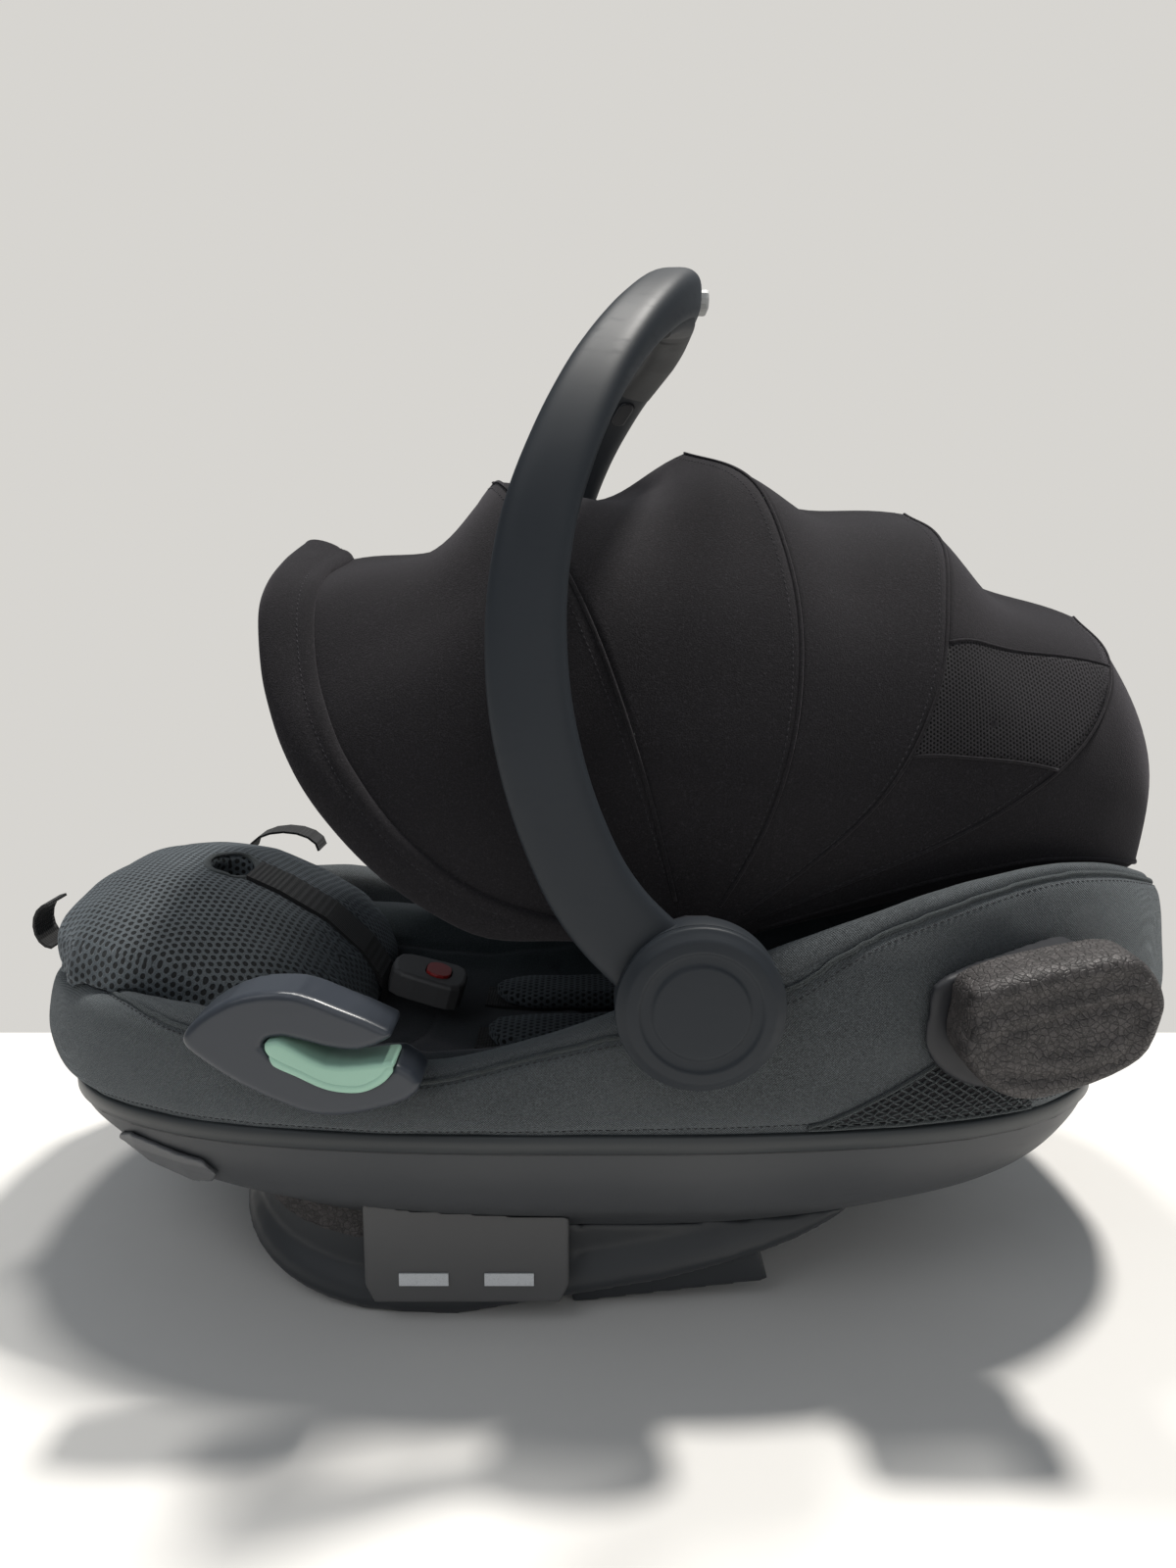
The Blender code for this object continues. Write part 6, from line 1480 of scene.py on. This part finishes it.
SHELL_SKIN = 0.0004
SHELL_TABLE = (
    # inset, share of the length, share of the width, part of the section, share of that part's height
    (0.0, 1.0, 1.0, "edge", 1.0), (0.004, 1.0, 1.0, "side", 0.62), (0.012, 1.0, 1.0, "side", 0.26),
    (0.026, 1.0, 1.0, "side", 0.0), (0.020, 0.78, 0.86, "floor", 0.42), (0.010, 0.52, 0.62, "floor", 0.12),
    (0.000, 0.26, 0.32, "floor", 0.0),
)
FLANGE_SECTION = (
    # depth below the edge, how far it stands out
    (-0.0004, -0.0030), (-0.0004, 0.0004), (0.0008, 0.0016), (0.0084, 0.0016), (0.0096, 0.0004), (0.0096, -0.0040),
)
LIP_SHARES = (
    # along the guide, up the guide
    (0.372, 0.515), (0.400, 0.455), (0.480, 0.385), (0.610, 0.275), (0.735, 0.252), (0.820, 0.312), (0.866, 0.395),
    (0.874, 0.448),
)
LIP_RADIUS = 0.0022
LIP_PROUD = 0.0012


def shell_column(angle):
    """The lower shell's outer form at a station, from its upper edge down and in to the belly."""
    top, low_height = edge_z(angle) - FLANGE_HEIGHT - GAP, low_z(angle)
    column = []
    for inset, share_x, share_y, part, up in SHELL_TABLE:
        foot, head = (BELLY_HEIGHT, low_height) if part == "floor" else (low_height, top)
        z = foot + up * (head - foot)
        column.append(on_plan(angle, edge_inset(angle) + inset + SHELL_SKIN, z, share_x, share_y))
    return smooth_open(column, 6)


shell = [list(row) for row in zip(*(shell_column(a) for a in ANGLES))]
shell_mesh = grid_mesh("lower_shell_mesh", shell, close_columns=True, cap_end=True)
new_piece("shell_skin", shell_mesh, "shell_plastic", "seat", ["lower_shell"])
flange = [[on_plan(a, edge_inset(a) - proud, edge_z(a) - depth) for a in ANGLES] for depth, proud in FLANGE_SECTION]
new_piece("tub_edge", grid_mesh("tub_edge_mesh", flange, close_columns=True), "dark_plastic", "seat", look=EDGE_LOOK)

for side_name, side in SIDES:
    refined(f"belt_guide_{side_name}", 0.0010, 9)
    refined(f"guide_insert_{side_name}", 0.0008, 6)
    refined(f"base_block_{side_name}", 0.0010, 4)
    refined(f"block_mount_{side_name}", 0.0012, 5)
    lip_y = side * (GUIDE_OUTER_Y + LIP_PROUD)
    lip = [Vector((GUIDE_X + GUIDE_LENGTH * a, lip_y, GUIDE_Z + GUIDE_HEIGHT * b)) for a, b in LIP_SHARES]
    lip = smooth_open(lip, 10)
    ups = [Vector((0.0, float(side), 0.0))] * len(lip)
    radii = [LIP_RADIUS * min(1.0, 0.25 + 6 * min(i, len(lip) - 1 - i) / len(lip)) for i in range(len(lip))]
    lip_mesh = tube_mesh("insert_lip_mesh", lip, radii, 12, flat=0.55, up=ups)
    new_piece(f"insert_lip_{side_name}", lip_mesh, "mint_plastic", "seat")
block = refined("side_block", 0.0013, 7)

# The block's moulded channel and the oval field below it: points (x, z), closed or not, width, depth
BLOCK_GROOVES = (
    (((0.164, 0.188), (0.169, 0.1975), (0.197, 0.2052), (0.240, 0.2166)), False, 0.0050, 0.0022),
    (
        (
            (0.174, 0.179), (0.1815, 0.1895), (0.205, 0.1962), (0.239, 0.2045), (0.2440, 0.1990), (0.2405, 0.1870),
            (0.2334, 0.1770), (0.2083, 0.1690), (0.1786, 0.1698),
        ),
        True, 0.0030, 0.0017,
    ),
)
block_tree = surface_of(block.data)
for points, closed, width, depth in BLOCK_GROOVES:
    line = [Vector((x, -0.5, z)) for x, z in points]
    line = smooth_open(line + line[:2] if closed else line, 12)
    faced = [block_tree.ray_cast(p, Vector((0.0, 1.0, 0.0)))[0] for p in line]
    pressed_along(block.data, even_path([p for p in faced if p is not None], 0.001), width, depth)
refined("foot_lever", 0.0009, 4, LEVER_LOOK)
refined("buckle", 0.0004, 2)
refined("rocker_base", 0.0019, 3, BASE_LOOK)


# Floor, backdrop, lights and camera

WALL_Y = 0.245
BACKDROP = (0.680, 0.665, 0.635)
FLOOR_COLOUR = (0.80, 0.785, 0.76)
FLOOR_SHADE = (0.72, 0.705, 0.69)
FLOOR_REACH = 6.0
FLOOR_DROP = 0.0003
SKY_COLOUR = (0.86, 0.93, 1.0)
SKY_STRENGTH = 0.22
LAMPS = (
    # name, place, target, size, power, colour
    ("key_right", (1.10, 0.72, 4.0), (0.0, 0.0, 0.1), 0.42, 172.0, (1.0, 0.97, 0.92)),
    ("key_left", (-0.25, 0.95, 3.8), (0.0, 0.0, 0.1), 0.60, 58.0, (1.0, 0.98, 0.94)),
    ("fill", (-0.9, -1.3, 1.7), (0.0, 0.0, 0.2), 1.2, 5.0, (0.95, 0.97, 1.0)),
    ("front", (0.5, -1.8, 0.9), (0.0, 0.0, 0.2), 1.4, 3.5, (1.0, 0.98, 0.96)),
)
CAMERA_PLACE = (-0.009, -0.70, 0.39)
CAMERA_TILT = 80.0
SENSOR_HEIGHT = 36.0
LENS = 25.875


def mixed_shaders(tree, factor, first, second, output_type):
    """Shows the second shader in place of the first where the factor is 1."""
    mixer = tree.nodes.new("ShaderNodeMixShader")
    tree.links.new(factor, mixer.inputs[0])
    tree.links.new(first.outputs[0], mixer.inputs[1])
    tree.links.new(second.outputs[0], mixer.inputs[2])
    output = next(n for n in tree.nodes if n.type == output_type)
    tree.links.new(mixer.outputs[0], output.inputs["Surface"])


def floor_look():
    """A pale floor, which shows the backdrop's even tone behind the seat."""
    f = Finish("floor", FLOOR_COLOUR, 0.55)
    speck = f.noise(22.0, 4.0, 0.6)
    near = f.blend(f.shares(speck, 0.35, 0.7, 0.0, 0.10), FLOOR_COLOUR, FLOOR_SHADE)
    path = f.node("LightPath")
    seen = f.maths("MAXIMUM", path.outputs["Is Camera Ray"], path.outputs["Is Glossy Ray"])
    far = f.maths("GREATER_THAN", f.parts(f.place)[1], WALL_Y)
    glow = f.node("Emission", Color=BACKDROP)
    mixed_shaders(f.tree, f.maths("MULTIPLY", far, seen), f.shader, glow, "OUTPUT_MATERIAL")
    return f.done(near, f.shares(speck, 0.3, 0.7, 0.5, 0.65))


def background(node, colour, strength):
    node.inputs["Color"].default_value = (*colour, 1.0)
    node.inputs["Strength"].default_value = strength
    return node


def lamp(name, place, target, size, power, colour):
    data = bpy.data.lights.new(name, "AREA")
    data.shape = "DISK"
    data.size = size
    data.energy = power
    data.color = colour
    obj = linked(name, data)
    obj.location = place
    obj.rotation_euler = (Vector(target) - Vector(place)).to_track_quat("-Z", "Y").to_euler()


corners = [(x * FLOOR_REACH, y * FLOOR_REACH, 0.0) for x, y in ((-1, -1), (1, -1), (1, 1), (-1, 1))]
floor_mesh = mesh_of("floor_mesh", corners, [(0, 1, 2, 3)])
floor_mesh.transform(Matrix.Translation((0.0, 0.0, -FLOOR_DROP)))
floor_mesh.materials.append(floor_look())
linked("floor", floor_mesh)

world = bpy.data.worlds.new("studio")
bpy.context.scene.world = world
world.use_nodes = True
tree = world.node_tree
sky = background(tree.nodes["Background"], SKY_COLOUR, SKY_STRENGTH)
shown = background(tree.nodes.new("ShaderNodeBackground"), BACKDROP, 1.0)
path = tree.nodes.new("ShaderNodeLightPath")
mixed_shaders(tree, path.outputs["Is Camera Ray"], sky, shown, "OUTPUT_WORLD")

for row in LAMPS:
    lamp(*row)

camera_data = bpy.data.cameras.new("camera")
camera_data.sensor_fit = "VERTICAL"
camera_data.sensor_height = SENSOR_HEIGHT
camera_data.lens = LENS
camera = linked("camera", camera_data)
camera.location = CAMERA_PLACE
camera.rotation_euler = (math.radians(CAMERA_TILT), 0.0, 0.0)
bpy.context.scene.camera = camera
bpy.context.scene.view_settings.view_transform = "Standard"
